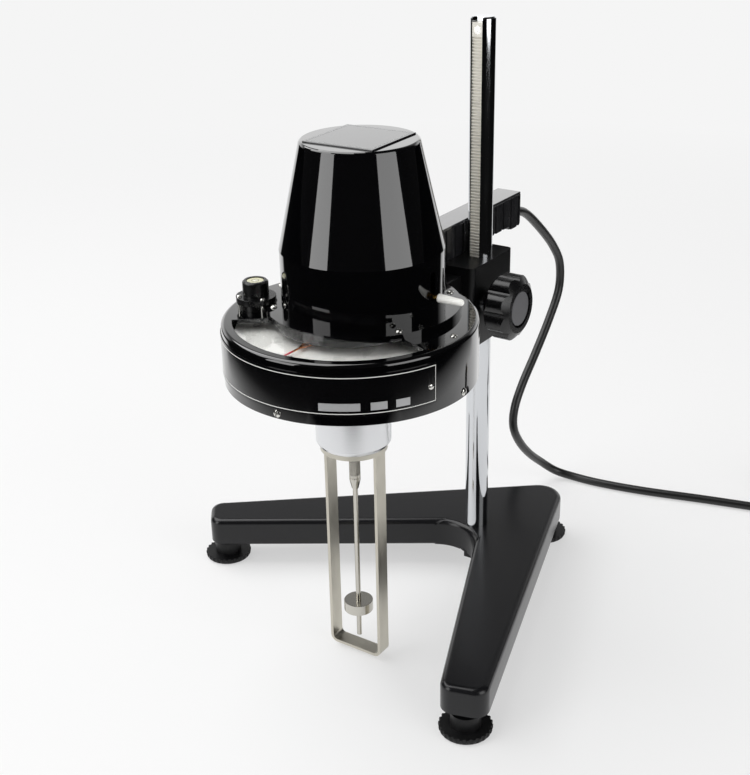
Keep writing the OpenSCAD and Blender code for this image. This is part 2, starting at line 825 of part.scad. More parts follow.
module cap_ring() {
    color("#131314") on_cap() difference() {
        union() {
            translate([0, 0, housing_top]) tube(spigot_r - spigot_t, ring_r, ring_t);
            translate([0, 0, ring_top - 0.5]) tube(spigot_r - spigot_t, spigot_r, 5.5);
        }
        for (a = ring_screw_a) rotate([0, 0, a]) translate([ring_screw_r, 0, housing_top - over])
            cylinder(r = ring_screw[2] + run_gap, h = ring_t + 2 * over);
        rotate([0, 0, lever_a]) translate([0, -slot_w / 2, ring_top])
            cube([ring_r, slot_w, 2 * ring_t]);
        translate(flat(level_at - cap_c, housing_top - over))
            cylinder(r = level_flange_r + pass_gap, h = 3 * ring_t);
    }
}

module ring_screws() {
    color("#d2d4d6") on_cap() for (a = ring_screw_a) rotate([0, 0, a])
        translate([ring_screw_r, 0, ring_top]) dome_screw(ring_screw);
}

module motor_cover() {
    edge = 1.5;
    lean = atan2(cap_r - cap_top_d / 2, cap_h - skirt_h);
    color("#0f0f10") on_cap() difference() {
        rotate_extrude() polygon(concat([[cap_inner, ring_top], [cap_r, ring_top], [cap_r, knee_z]],
            arc([cap_top_d / 2 - edge, cap_top - edge], edge, lean, 90, 5),
            [[0, cap_top], [0, cap_top - cap_wall], [cap_top_d / 2 - cap_wall, cap_top - cap_wall],
                [cap_inner, knee_z]]));
        rotate([0, 0, lever_a]) translate([cap_inner - 3, 0, lever_z]) rotate([90, 0, 90])
            linear_extrude(cap_wall + 6) {
                circle(slot_w / 2);
                translate([-slot_w / 2, 0]) square([slot_w, 12]);
                translate([0, 12]) circle(slot_w / 2);
            }
        rotate([0, 0, speed_a]) translate([cap_inner - 3, 0, speed_z]) rotate([0, 90, 0])
            cylinder(r = 3 + 2 * run_gap, h = cap_wall + 6);
    }
}

module top_plate() {
    color("#1b1b1c") on_cap() translate([0, 0, cap_top]) rotate([0, 0, top_plate_turn])
        linear_extrude(top_plate_t) square(top_plate_w, center = true);
}

module level_mount() {
    color("#17171a") placed() translate(flat(level_at, housing_top)) difference() {
        // Two flanges, drawn together by the screws, carry the cup
        rotate_extrude() polygon([[0, 0], [level_flange_r, 0], [level_flange_r, level_flange_t / 2 - 0.5],
            [level_flange_r - level_groove, level_flange_t / 2 - 0.5],
            [level_flange_r - level_groove, level_flange_t / 2 + 0.5],
            [level_flange_r, level_flange_t / 2 + 0.5], [level_flange_r, level_flange_t],
            [level_r, level_flange_t], [level_r, level_h - 1], [level_r - 1, level_h], [0, level_h]]);
        translate([0, 0, level_h - vial_h]) cylinder(r = vial_r, h = vial_h + over);
        for (a = level_screw_a) rotate([0, 0, a]) translate([level_screw_r, 0, level_flange_t - 3])
            cylinder(r = level_screw[2] + run_gap, h = 4);
    }
}

module level_vial() {
    color([0.85, 0.85, 0.6, 0.6]) placed() translate(flat(level_at, housing_top + level_h - vial_h))
        cylinder(r = vial_r - run_gap, h = vial_h - 0.4);
}

module level_screws() {
    color("#d2d4d6") placed() translate(flat(level_at, housing_top + level_flange_t))
        for (a = level_screw_a) rotate([0, 0, a]) translate([level_screw_r, 0, 0])
            dome_screw(level_screw);
}

module gear_plate(z, shaft_at) {
    difference() {
        on_cap() translate([0, 0, z]) cylinder(r = gear_plate_r, h = gear_plate_t);
        for (p = shaft_at) placed() translate(flat(p, z - over))
            cylinder(r = shaft_r + run_gap, h = gear_plate_t + 2 * over);
        children();
    }
}

module gear_plate_lower() {
    color("#c2a15a") gear_plate(lower_plate_z, [lay_c]) {
        on_disc() translate([0, 0, lower_plate_z - over])
            cylinder(r = 3 + run_gap, h = gear_plate_t + 2 * over);
    }
    // Two ears carry the lever's pin
    color("#c2a15a") on_cap() rotate([0, 0, lever_a]) for (side = [-1, 1])
        translate([lever_pivot, side * 4.5, lower_plate_z + gear_plate_t]) difference() {
            translate([-3, -1, 0]) cube([6, 2, lever_z - lower_plate_z - gear_plate_t + 3]);
            translate([0, -2, lever_z - lower_plate_z - gear_plate_t]) rotate([-90, 0, 0])
                cylinder(r = 1 + run_gap, h = 4);
        }
}

module gear_plate_upper() {
    color("#c2a15a") gear_plate(upper_plate_z, [lay_c]) {
        on_disc() translate([0, 0, upper_plate_z - over])
            cylinder(r = 3 + run_gap, h = gear_plate_t + 2 * over);
        on_cap() translate([0, 0, upper_plate_z - over])
            cylinder(r = shaft_r + run_gap, h = gear_plate_t + 2 * over);
    }
}

module plate_pillars() {
    color("#b9bcc0") on_cap() for (a = pillar_a) rotate([0, 0, a]) translate([pillar_r, 0, 0]) {
        translate([0, 0, housing_top]) cylinder(r = post_r, h = lower_plate_z - housing_top);
        translate([0, 0, lower_plate_z + gear_plate_t])
            cylinder(r = post_r, h = upper_plate_z - lower_plate_z - gear_plate_t);
    }
}

module motor_body() {
    color("#9b9ea1") on_cap() translate([0, 0, upper_plate_z + gear_plate_t]) difference() {
        cylinder(r = motor_r, h = motor_h);
        translate([0, 0, -over]) cylinder(r = shaft_r + run_gap, h = 10);
    }
}

// The angle from one axis to another, as a gear at the first sees the second
function aim(from, to) = atan2(to[1] - from[1], to[0] - from[0]);

module motor_pinion() {
    color("#c8b27a") on_cap() {
        translate([0, 0, motor_gear_z]) cylinder(r = shaft_r,
            h = upper_plate_z + gear_plate_t + 8 - motor_gear_z);
        translate([0, 0, motor_gear_z]) rotate([0, 0, aim(cap_c, lay_c)])
            gear(small_teeth, gear_pitch, gear_t);
    }
}

module layshaft_gears() {
    gap_turn = 180 / big_teeth;
    color("#c8b27a") placed() translate(flat(lay_c, 0)) {
        translate([0, 0, lower_plate_z])
            cylinder(r = shaft_r, h = upper_plate_z + gear_plate_t - lower_plate_z);
        translate([0, 0, motor_gear_z]) rotate([0, 0, aim(lay_c, cap_c) + gap_turn])
            gear(big_teeth, gear_pitch, gear_t);
        translate([0, 0, dial_gear_z]) rotate([0, 0, aim(lay_c, disc)])
            gear(small_teeth, gear_pitch, gear_t);
    }
}

// The driven shaft, its gear and the yoke that carries the dial
module dial_drive() {
    color("#c8b27a") on_disc() difference() {
        union() {
            translate([0, 0, yoke_z + yoke_t - 0.5])
                cylinder(r = 3, h = upper_plate_z + gear_plate_t - yoke_z - yoke_t);
            translate([0, 0, dial_gear_z]) rotate([0, 0, aim(disc, lay_c) + 180 / big_teeth])
                gear(big_teeth, gear_pitch, gear_t);
            rotate([0, 0, yoke_a]) {
                translate([-5, -yoke_w / 2, yoke_z]) cube([yoke_r + 5, yoke_w, yoke_t]);
                translate([yoke_r - 4, -yoke_w / 2, dial_z + dial_t])
                    cube([4, yoke_w, yoke_z - dial_z - dial_t + 1]);
            }
        }
        translate([0, 0, yoke_z - over]) cylinder(r = pivot_r + run_gap, h = over + 2);
    }
}

module dial_plate() {
    color("#f0f0ec") on_disc() {
        translate([0, 0, dial_z]) tube(dial_hole_r, dial_r, dial_t);
        // The stud that holds the outer end of the hairspring
        rotate([0, 0, yoke_a]) translate([spring_r + 1.6, 0, spring_z])
            cylinder(r = 1, h = dial_z - spring_z + 0.5);
    }
}

module hairspring() {
    steps = 28 * spring_turns;
    wire = 0.3;
    start_r = collet_r + run_gap;
    color("#8f9296") on_disc() translate([0, 0, spring_z]) rotate([0, 0, yoke_a - 360 * spring_turns])
        linear_extrude(spring_h) polygon(concat(
            [for (i = [0:steps]) let (t = i / steps)
                polar(start_r + (spring_r - start_r) * t, 360 * spring_turns * t)],
            [for (i = [steps:-1:0]) let (t = i / steps)
                polar(start_r + wire + (spring_r - start_r) * t, 360 * spring_turns * t)]));
}

module pointer() {
    tip = window_r - 9;
    blade = window_inner_r + 3;
    color("#b0703c") on_disc() rotate([0, 0, pointer_a]) translate([0, 0, pointer_z])
        linear_extrude(pointer_t) difference() {
            union() {
                circle(4);
                polygon([[-9, -2], [0, -3.4], [blade - 7, -3], [blade, -0.5], [tip, -0.35],
                    [tip, 0.35], [blade, 0.5], [blade - 7, 3], [0, 3.4], [-9, 2]]);
            }
            circle(pivot_r);
        }
}

module pivot_shaft() {
    color("#c6c9cc") on_disc() {
        translate([0, 0, pivot_low]) cylinder(r = pivot_r, h = yoke_z + 1.5 - pivot_low);
        translate([0, 0, spring_z - 1]) cylinder(r = collet_r, h = spring_h + 2);
        translate([0, 0, pointer_z - 1.5]) cylinder(r = 2.6, h = 1.5);
    }
}

module spindle_coupling() {
    taper = 6;
    h = coupling_top - coupling_z;
    color("#aeb1b4") on_disc() translate([0, 0, coupling_z]) difference() {
        rotate_extrude() polygon([[0, 0], [spindle_r + 0.5, 0], [coupling_r, taper],
            [coupling_r, h - 0.5], [coupling_r - 0.5, h], [0, h]]);
        translate([0, 0, -over]) cylinder(r = spindle_r, h = pivot_low - coupling_z + over);
        translate([0, 0, pivot_low - coupling_z - 0.01]) cylinder(r = pivot_r, h = h);
        for (i = [0:17]) rotate([0, 0, i * 20]) translate([coupling_r + 0.2, 0, taper + 1.5])
            cylinder(r = 0.45, h = h, $fn = 16);
    }
}

module spindle() {
    color("#bfc1bd") on_disc() {
        translate([0, 0, spindle_tip]) cylinder(r = spindle_r, h = pivot_low - spindle_tip - 0.5);
        translate([0, 0, rotor_z]) cylinder(r = rotor_d / 2, h = rotor_h);
    }
}

module lever_arm() {
    inner = lever_pivot - 5;
    color("#b08a48") on_cap() rotate([0, 0, lever_a]) translate([0, 0, lever_z]) {
        translate([inner, 0, 0]) rotate([0, 90, 0]) cylinder(r = lever_r, h = lever_out - 2 - inner);
        translate([lever_pivot, -5.3, 0]) rotate([-90, 0, 0]) cylinder(r = 1, h = 10.6);
    }
}

module lever_sleeve() {
    color("#f1f0ea") on_cap() rotate([0, 0, lever_a]) translate([lever_out - sleeve_l, 0, lever_z])
        rotate([0, 90, 0]) difference() {
            rotate_extrude() polygon(concat([[0, 0], [sleeve_r, 0]],
                arc([0, sleeve_l - sleeve_tip_r], sleeve_tip_r, 0, 90, 6)));
            translate([0, 0, -over]) cylinder(r = lever_r, h = sleeve_l - 2 + over);
        }
}

// The knob that picks the speed, with a ridge that shows its setting
module speed_knob() {
    gap = cap_r + pass_gap;
    color("#151516") on_cap() rotate([0, 0, speed_a]) translate([gap, 0, speed_z]) rotate([0, 90, 0]) {
        rotate_extrude() polygon([[0, 0], [speed_r, 0], [speed_r - 0.8, speed_l - 1.5],
            [speed_r - 2, speed_l], [0, speed_l]]);
        translate([-speed_r + 2.5, -1.2, speed_l - 0.5]) cube([2 * speed_r - 5, 2.4, 2]);
        translate([0, 0, -18]) cylinder(r = 3, h = 19);
    }
}

// The ribbed grip behind the cover; the cord and the switch are in it
module handle_body() {
    l = handle_rear - handle_front;
    plain_l = 40;
    count = floor((l - handle_end_l - plain_l) / flute_pitch);
    heel_from = handle_rear - heel_l - heel_h;
    color("#161617") difference() {
        placed() {
            translate([handle_x, handle_front, handle_z]) cube([handle_w, l, handle_h - cover_t]);
            translate([handle_x, -block_front + 4, block_top]) cube([handle_w, block_l - 8, 4]);
            // The heel that the cord comes out of
            translate([handle_x, 0, 0]) rotate([90, 0, 90]) linear_extrude(handle_w)
                polygon(concat([[heel_from, handle_z + over], [heel_from, handle_z],
                    [heel_from + heel_h, handle_z - heel_h]],
                    arc([handle_rear - heel_h, handle_z], heel_h, -90, 0, 5),
                    [[handle_rear, handle_z + over]]));
        }
        on_cap() translate([0, 0, ring_top - over]) cylinder(r = cap_r + run_gap, h = cap_h);
        on_cap() translate([0, 0, housing_top]) cylinder(r = ring_r + run_gap, h = ring_t);
        for (x = [handle_x, handle_x + handle_w], i = [0:count - 1]) placed()
            translate([x, handle_rear - handle_end_l - i * flute_pitch, handle_z - heel_h - over])
                cylinder(r = flute_r, h = handle_h + heel_h);
        placed() translate(cord_exit - [0, relief_in, 0]) rotate([-90, 0, 0])
            cylinder(r = relief_r + run_gap, h = relief_in + over);
        placed() translate([handle_x - over, switch_y - 11, handle_z + 5])
            cube([switch_r + 1.5, 22, switch_h + 1]);
    }
}

module handle_cover() {
    color("#8e9093") difference() {
        placed() translate([handle_x, handle_front, handle_top - cover_t])
            cube([handle_w, handle_rear - handle_front, cover_t]);
        on_cap() translate([0, 0, ring_top]) cylinder(r = cap_r + run_gap, h = cap_h);
    }
}

// A rocker that turns about an upright pin inside the handle
module power_switch() {
    axis = handle_x + switch_r - switch_out - 1.6;
    color("#0e0e0f") placed() translate([axis, switch_y, handle_z + 5.5]) linear_extrude(switch_h)
        intersection() {
            circle(switch_r - 1.6);
            translate([-switch_r, -8]) square([switch_r + 2, 16]);
        }
}

module strain_relief() {
    color("#141415") placed() translate(cord_exit) rotate([-90, 0, 0]) difference() {
        rotate_extrude() polygon([[0, -relief_in], [relief_r, -relief_in], [relief_r, 1],
            [cord_r + 0.6, relief_l], [0, relief_l]]);
        translate([0, 0, relief_l - relief_bore]) cylinder(r = cord_r, h = relief_bore + over);
    }
}

// The cord's centre line: a smooth curve through the route's points
function cord_point(t) = let (last = len(cord_route) - 1, i = min(floor(t), last - 1), u = t - i,
    p1 = cord_route[i], p2 = cord_route[i + 1],
    p0 = i > 0 ? cord_route[i - 1] : p1 - [0, 20, 0],
    p3 = i < last - 1 ? cord_route[i + 2] : 2 * p2 - p1)
    0.5 * (2 * p1 + (p2 - p0) * u + (2 * p0 - 5 * p1 + 4 * p2 - p3) * pow(u, 2)
        + (3 * p1 - p0 - 3 * p2 + p3) * pow(u, 3));

// A tube swept along a list of points, its rings kept square to the path
module swept_tube(path, r, sides) {
    n = len(path);
    dirs = [for (i = [0:n - 1]) unit(path[min(i + 1, n - 1)] - path[max(i - 1, 0)])];
    frames = [for (i = 0, s = [1, 0, 0]; i < n;
        s = i + 1 < n ? unit(s - dirs[i + 1] * (s * dirs[i + 1])) : s, i = i + 1) s];
    points = [for (i = [0:n - 1]) let (a = unit(frames[i] - dirs[i] * (frames[i] * dirs[i])),
        b = cross(dirs[i], a)) for (k = [0:sides - 1])
            path[i] + r * (a * cos(360 * k / sides) + b * sin(360 * k / sides))];
    walls = [for (i = [0:n - 2], k = [0:sides - 1]) let (k2 = (k + 1) % sides)
        [i * sides + k, (i + 1) * sides + k, (i + 1) * sides + k2, i * sides + k2]];
    ends = [[for (k = [0:sides - 1]) k], [for (k = [sides - 1:-1:0]) (n - 1) * sides + k]];
    polyhedron(points, concat(walls, ends), convexity = 6);
}

module cord() {
    per_leg = 2;
    count = (len(cord_route) - 1) * per_leg;
    color("#191919") placed() swept_tube([for (i = [0:count]) cord_point(i / per_leg)],
        cord_r, cord_sides);
}

module cord_coil() {
    color("#191919") placed() translate(flat(coil_at, 0)) rotate_extrude()
        translate([coil_out - coil_w, 0.2]) square([coil_w, coil_h]);
}

module plug_body() {
    color("#141414") placed() translate(flat(plug_at, 0.2)) {
        translate([-plug_w / 2, 0, 0]) linear_extrude(plug_h) soft_rect([plug_w, plug_l], 5);
        translate([0, -plug_tail, plug_h / 2]) rotate([-90, 0, 0])
            cylinder(r1 = cord_r + 0.4, r2 = 5.5, h = plug_tail + 5);
    }
}

module plug_pins() {
    color("#c9b56a") placed() translate(flat(plug_at, 0.2)) for (side = [-1, 1])
        translate([side * pin_gap - pin_t / 2, plug_l, (plug_h - pin_w) / 2])
            cube([pin_t, pin_l, pin_w]);
}

base_casting();
column();
rack();
rack_screws();
column_washer();
column_nut();
foot_left();
foot_right();
foot_rear();
clamp_block();
head_bracket();
bracket_screws();
pinion_bush();
pinion_shaft();
height_knob();
knob_cap();
tension_screw();
housing_shell();
housing_floor();
housing_screws();
dial_window();
window_screws();
nameplate();
nameplate_rivets();
boss_collar();
lower_bearing();
spindle_guard();
cap_ring();
ring_screws();
motor_cover();
top_plate();
level_mount();
level_vial();
level_screws();
gear_plate_lower();
gear_plate_upper();
plate_pillars();
motor_body();
motor_pinion();
layshaft_gears();
dial_drive();
dial_plate();
hairspring();
pointer();
pivot_shaft();
spindle_coupling();
spindle();
lever_arm();
lever_sleeve();
speed_knob();
handle_body();
handle_cover();
power_switch();
strain_relief();
cord();
cord_coil();
plug_body();
plug_pins();
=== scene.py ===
import bpy
import json
import math
from mathutils import Matrix, Vector


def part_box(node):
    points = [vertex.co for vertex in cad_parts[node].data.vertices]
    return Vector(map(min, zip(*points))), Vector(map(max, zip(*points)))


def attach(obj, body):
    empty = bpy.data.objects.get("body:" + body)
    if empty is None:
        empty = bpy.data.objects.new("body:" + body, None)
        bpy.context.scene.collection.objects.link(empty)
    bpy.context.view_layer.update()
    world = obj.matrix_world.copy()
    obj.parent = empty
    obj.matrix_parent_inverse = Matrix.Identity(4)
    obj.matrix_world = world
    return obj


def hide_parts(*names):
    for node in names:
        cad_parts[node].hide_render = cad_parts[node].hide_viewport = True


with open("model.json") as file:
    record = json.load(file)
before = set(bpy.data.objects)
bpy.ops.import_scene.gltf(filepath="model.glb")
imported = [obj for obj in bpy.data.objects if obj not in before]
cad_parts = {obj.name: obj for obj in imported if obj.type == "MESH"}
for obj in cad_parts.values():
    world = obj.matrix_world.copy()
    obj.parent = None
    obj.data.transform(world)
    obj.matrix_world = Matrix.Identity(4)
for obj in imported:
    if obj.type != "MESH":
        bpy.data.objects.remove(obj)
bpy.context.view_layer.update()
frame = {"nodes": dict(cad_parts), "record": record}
nodes = frame["nodes"]
bpy.ops.object.select_all(action="DESELECT")

# ---------------------------------------------------------------------------
# The camera stands in front and to the right of the instrument, above it, and
# looks down on the dial. The column's foot is the point it is placed from.
# ---------------------------------------------------------------------------
MM = 0.001
column_foot = Vector((38.791, 61.170, 0.0)) * MM
camera_from_foot = Vector((395.6, -703.0, 505.75)) * MM
camera_az, camera_pitch, camera_roll = (math.radians(a) for a in (34.25, 23.87, -1.19))
focal_px, centre_px = 1286.2, (377.7, 379.6)
frame_px = (750, 775)
camera_data = bpy.data.cameras.new("camera")
camera_data.sensor_fit = "HORIZONTAL"
camera_data.sensor_width = 36.0
camera_data.lens = focal_px / frame_px[0] * camera_data.sensor_width
camera_data.clip_start = 0.01
camera = bpy.data.objects.new("camera", camera_data)
bpy.context.scene.collection.objects.link(camera)
back = Vector((math.sin(camera_az) * math.cos(camera_pitch),
               -math.cos(camera_az) * math.cos(camera_pitch), math.sin(camera_pitch)))
level_right = Vector((math.cos(camera_az), math.sin(camera_az), 0.0))
level_up = back.cross(level_right)
right = level_right * math.cos(camera_roll) + level_up * math.sin(camera_roll)
up = level_up * math.cos(camera_roll) - level_right * math.sin(camera_roll)
# The frame's middle is a little off the lens's own axis, so the camera turns by that much
aim_x = (frame_px[0] / 2 - centre_px[0]) / focal_px
aim_y = (centre_px[1] - frame_px[1] / 2) / focal_px
back = (back - right * aim_x - up * aim_y).normalized()
up = (up - back * up.dot(back)).normalized()
right = up.cross(back)
camera_turn = Matrix((right, up, back)).transposed().to_4x4()
camera.matrix_world = Matrix.Translation(column_foot + camera_from_foot) @ camera_turn
bpy.context.scene.camera = camera


# ---------------------------------------------------------------------------
# The mains cord is a round black PVC lead. It leaves the handle's end, hangs
# to the table in an S, runs along it and is wound into a neat coil there. It
# ends in a moulded plug with two brass pins, and a tie holds the coil.
# ---------------------------------------------------------------------------
def linear(hex_colour):
    """An sRGB hex colour as the linear colour that shaders take."""
    parts = [int(hex_colour[i:i + 2], 16) / 255 for i in (1, 3, 5)]
    return tuple(c / 12.92 if c <= 0.04045 else ((c + 0.055) / 1.055) ** 2.4 for c in parts) + (1.0,)


def add_node(material, kind, settings=(), inputs=(), **links):
    """Adds a node: settings are properties or socket values, inputs link in order, links by name."""
    node = material.node_tree.nodes.new(kind)
    for name, value in dict(settings).items():
        if isinstance(name, int) or name in node.inputs:
            node.inputs[name].default_value = value
        else:
            setattr(node, name, value)
    for socket, source in zip(node.inputs, inputs):
        if source is not None:
            material.node_tree.links.new(source, socket)
    for name, source in links.items():
        material.node_tree.links.new(source, node.inputs[name.replace("_", " ")])
    return node


def new_material(name, colour, roughness, metallic=0.0, **sockets):
    """A named finish on one Principled shader; returns it with that shader."""
    material = bpy.data.materials.new(name)
    material.use_nodes = True
    shader = material.node_tree.nodes["Principled BSDF"]
    shader.inputs["Base Color"].default_value = linear(colour)
    shader.inputs["Roughness"].default_value = roughness
    shader.inputs["Metallic"].default_value = metallic
    for socket, value in sockets.items():
        shader.inputs[socket.replace("_", " ")].default_value = value
    return material, shader


def add_grain(material, shader, size_mm, depth_mm, stretch=(1, 1, 1)):
    """Small bumps of a real size over the whole surface."""
    place = add_node(material, "ShaderNodeTexCoord")
    scaled = add_node(material, "ShaderNodeMapping", {"Scale": stretch}, Vector=place.outputs["Object"])
    noise = add_node(material, "ShaderNodeTexNoise", {"Scale": 1 / (size_mm * MM), "Detail": 2.0},
                     Vector=scaled.outputs["Vector"])
    bump = add_node(material, "ShaderNodeBump", {"Strength": 1.0, "Distance": depth_mm * MM},
                    Height=noise.outputs["Fac"])
    material.node_tree.links.new(bump.outputs["Normal"], shader.inputs["Normal"])


def vary_roughness(material, shader, low, high, size_mm, stretch=(1, 1, 1)):
    """Patches of wear or handling that are a little duller than the rest."""
    place = add_node(material, "ShaderNodeTexCoord")
    scaled = add_node(material, "ShaderNodeMapping", {"Scale": stretch}, Vector=place.outputs["Object"])
    noise = add_node(material, "ShaderNodeTexNoise", {"Scale": 1 / (size_mm * MM), "Detail": 4.0},
                     Vector=scaled.outputs["Vector"])
    spread = add_node(material, "ShaderNodeMapRange",
                      {"From Min": 0.35, "From Max": 0.7, "To Min": low, "To Max": high},
                      Value=noise.outputs["Fac"])
    material.node_tree.links.new(spread.outputs["Result"], shader.inputs["Roughness"])


def dress(material, *names):
    """Gives CAD nodes their finish."""
    for name in names:
        data = nodes[name].data
        data.materials.clear()
        data.materials.append(material)


cord_d = 6.5
cord_floor = 3.6
cord_route = [
    (-19.5, 78, 242.7), (-19.5, 89, 242.1), (-20, 105, 235), (-20, 129, 217), (-20, 149, 199),
    (-20, 161.5, 181.5), (-20, 161.5, 160), (-20, 146, 139.6), (-20, 125.5, 119.5), (-20, 105, 101),
    (-20, 93, 85), (-20, 92, 69), (-20, 103, 51.5), (-19.6, 119.5, 34.5), (-18, 137.5, 19.5),
    (-11, 149.5, 8.2), (2, 154.5, 4.2), (26, 156.5, cord_floor), (62, 163, cord_floor),
    (107, 175, cord_floor), (152, 186, cord_floor), (200, 198, cord_floor)]
inside_handle = Vector((0, -20, 0))
coil_out = 47.0
coil_levels = (0.2 + cord_d / 2, 0.2 + 1.5 * cord_d)
coil_radii = [coil_out - cord_d * (i + 0.5) for i in range(3)]
route = [Vector(p) for p in cord_route]
heading = (route[-1] - route[-2]).normalized()
coil_centre = route[-1] + coil_radii[0] * Vector((-heading.y, heading.x, 0.0))
coil_start = math.degrees(math.atan2(-heading.x, heading.y))
# The lead changes its track over so many degrees: twice inwards, once up, twice outwards
cross_over = 60
steps_in, step_up, steps_out = (300, 660), 960, (1260, 1560)


def smooth_step(x, start, end):
    """Rises smoothly from 0 at the start to 1 at the end."""
    t = min(max((x - start) / (end - start), 0.0), 1.0)
    return t * t * (3 - 2 * t)


def route_point(t):
    """A point of one smooth curve through the route's points, t of them along it."""
    i = min(int(t), len(route) - 2)
    u = t - i
    p1, p2 = route[i], route[i + 1]
    p0 = route[i - 1] if i else p1 + inside_handle
    p3 = route[i + 2] if i < len(route) - 2 else 2 * p2 - p1
    return 0.5 * (2 * p1 + (p2 - p0) * u + (2 * p0 - 5 * p1 + 4 * p2 - p3) * u ** 2
                  + (3 * p1 - p0 - 3 * p2 + p3) * u ** 3)


def coil_point(turned):
    """A point of the coil after so many degrees: three tracks below, then back out on top."""
    inward = sum(smooth_step(turned, step, step + cross_over) for step in steps_in)
    outward = sum(smooth_step(turned, step, step + cross_over) for step in steps_out)
    r = coil_radii[0] - cord_d * (inward - outward)
    rise = smooth_step(turned, step_up, step_up + cross_over)
    z = coil_levels[0] + (coil_levels[1] - coil_levels[0]) * rise
    a = math.radians(coil_start + turned)
    return Vector((coil_centre.x + r * math.cos(a), coil_centre.y + r * math.sin(a), z))


# After its turns the lead runs straight on into the plug, which lies beside the coil
points_a_stretch, degrees_a_point = 6, 6
coil_turned = 5 * 360 - coil_start
run_out_first, run_out_step, run_out_points, plug_z = 4.0, 3.0, 7, 7.7
path = [route_point(i / points_a_stretch) for i in range(points_a_stretch * (len(route) - 1))]
path += [coil_point(i * degrees_a_point) for i in range(int(coil_turned / degrees_a_point) + 1)]
for i in range(run_out_points):
    fall = (plug_z - coil_levels[1]) * smooth_step(i, 0, run_out_points - 1)
    path.append(Vector((coil_centre.x + coil_radii[0],
                        coil_centre.y + run_out_first + i * run_out_step, coil_levels[1] + fall)))
cord_curve = bpy.data.curves.new("mains_cord", "CURVE")
cord_curve.dimensions = "3D"
cord_curve.bevel_depth = cord_d / 2 * MM
cord_curve.bevel_resolution = 5
cord_curve.use_fill_caps = True
spline = cord_curve.splines.new("POLY")
spline.points.add(len(path) - 1)
for point, place in zip(spline.points, path):
    point.co = (*(place * MM + column_foot), 1.0)
mains_cord = bpy.data.objects.new("mains_cord", cord_curve)
bpy.context.scene.collection.objects.link(mains_cord)
# Extruded PVC: a smooth satin skin with a faint waviness from the extruder
pvc, pvc_shader = new_material("extruded PVC", "#171717", roughness=0.34)
add_grain(pvc, pvc_shader, size_mm=3.0, depth_mm=0.04)
cord_curve.materials.append(pvc)
part_record = frame["record"]
body_of = {name: body for body, names in part_record["behaviour"]["bodies"].items() for name in names}


def pick(piece):
    """Makes a piece the only one selected, and the active one."""
    bpy.ops.object.select_all(action="DESELECT")
    piece.select_set(True)
    bpy.context.view_layer.objects.active = piece


def apply_modifier(piece, kind, **settings):
    """Adds a modifier with its settings and applies it."""
    pick(piece)
    modifier = piece.modifiers.new(kind.lower(), kind)
    for setting, value in settings.items():
        setattr(modifier, setting, value)
    bpy.ops.object.modifier_apply(modifier=modifier.name)


def cut_away(piece, cutter):
    """Cuts one closed piece out of another."""
    apply_modifier(piece, "BOOLEAN", object=cutter, operation="DIFFERENCE", solver="EXACT")
    bpy.data.objects.remove(cutter)


def add_block(place, size, middle=(0, 0, 0)):
    """A block of some size round a middle, in the millimetres of a place that is a matrix."""
    bpy.ops.mesh.primitive_cube_add(size=1)
    block = bpy.context.object
    block.data.transform(place @ Matrix.Translation(Vector(middle) * MM)
                         @ Matrix.Diagonal((*(Vector(size) * MM), 1)))
    return block


# The tie is a band round all the coil's turns, on the side away from the plug
tie_bearing, tie_width, tie_t, tie_play, tie_high, tie_round = 205, 7.0, 0.7, 0.2, 13.9, 1.2
tie_hole_low, tie_hole_high = 0.12, 13.3
coil_in = coil_radii[-1] - cord_d / 2
tie_middle, hole_width = (coil_out + coil_in) / 2, coil_out - coil_in + 2 * tie_play
tie_place = Matrix.Translation(Vector((coil_centre.x, coil_centre.y, 0)) * MM + column_foot)
tie_place = tie_place @ Matrix.Rotation(math.radians(tie_bearing), 4, "Z")
coil_tie = add_block(tie_place, (hole_width + 2 * tie_t, tie_width, tie_high), (tie_middle, 0, tie_high / 2))
coil_tie.name = "coil_tie"
apply_modifier(coil_tie, "BEVEL", width=tie_round * MM, segments=3, limit_method="ANGLE")
cut_away(coil_tie, add_block(tie_place, (hole_width, tie_width + 2, tie_hole_high - tie_hole_low),
                             (tie_middle, 0, (tie_hole_low + tie_hole_high) / 2)))
bpy.ops.object.shade_smooth_by_angle(angle=math.radians(35))
# Woven hook-and-loop tape: matt black with a fine weave
tape, tape_shader = new_material("woven tie tape", "#151516", roughness=0.8)
add_grain(tape, tape_shader, size_mm=0.7, depth_mm=0.05)
coil_tie.data.materials.append(tape)
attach(coil_tie, "head")


def one_skin(name):
    """A copy of a CAD node whose loose triangles are joined into whole faces."""
    piece = bpy.data.objects.new(name + "_finished", nodes[name].data.copy())
    bpy.context.scene.collection.objects.link(piece)
    pick(piece)
    bpy.ops.object.mode_set(mode="EDIT")
    bpy.ops.mesh.select_all(action="SELECT")
    bpy.ops.mesh.remove_doubles(threshold=0.005 * MM)
    bpy.ops.mesh.dissolve_limited(angle_limit=math.radians(0.3))
    bpy.ops.object.mode_set(mode="OBJECT")
    return piece


def finish_surface(piece, width=0, segments=2, angle=30, smooth=32):
    """Breaks the sharp edges, smooths the round faces and keeps the flat ones flat."""
    if width:
        apply_modifier(piece, "BEVEL", width=width * MM, segments=segments, limit_method="ANGLE",
                       angle_limit=math.radians(angle))
    pick(piece)
    bpy.ops.object.shade_smooth_by_angle(angle=math.radians(smooth))
    apply_modifier(piece, "WEIGHTED_NORMAL", keep_sharp=True)


def stand_for(piece, material, name):
    """Lets a finished piece stand for a CAD node: its body and its own finish."""
    piece.data.materials.clear()
    piece.data.materials.append(material)
    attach(piece, body_of[name])
    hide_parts(name)


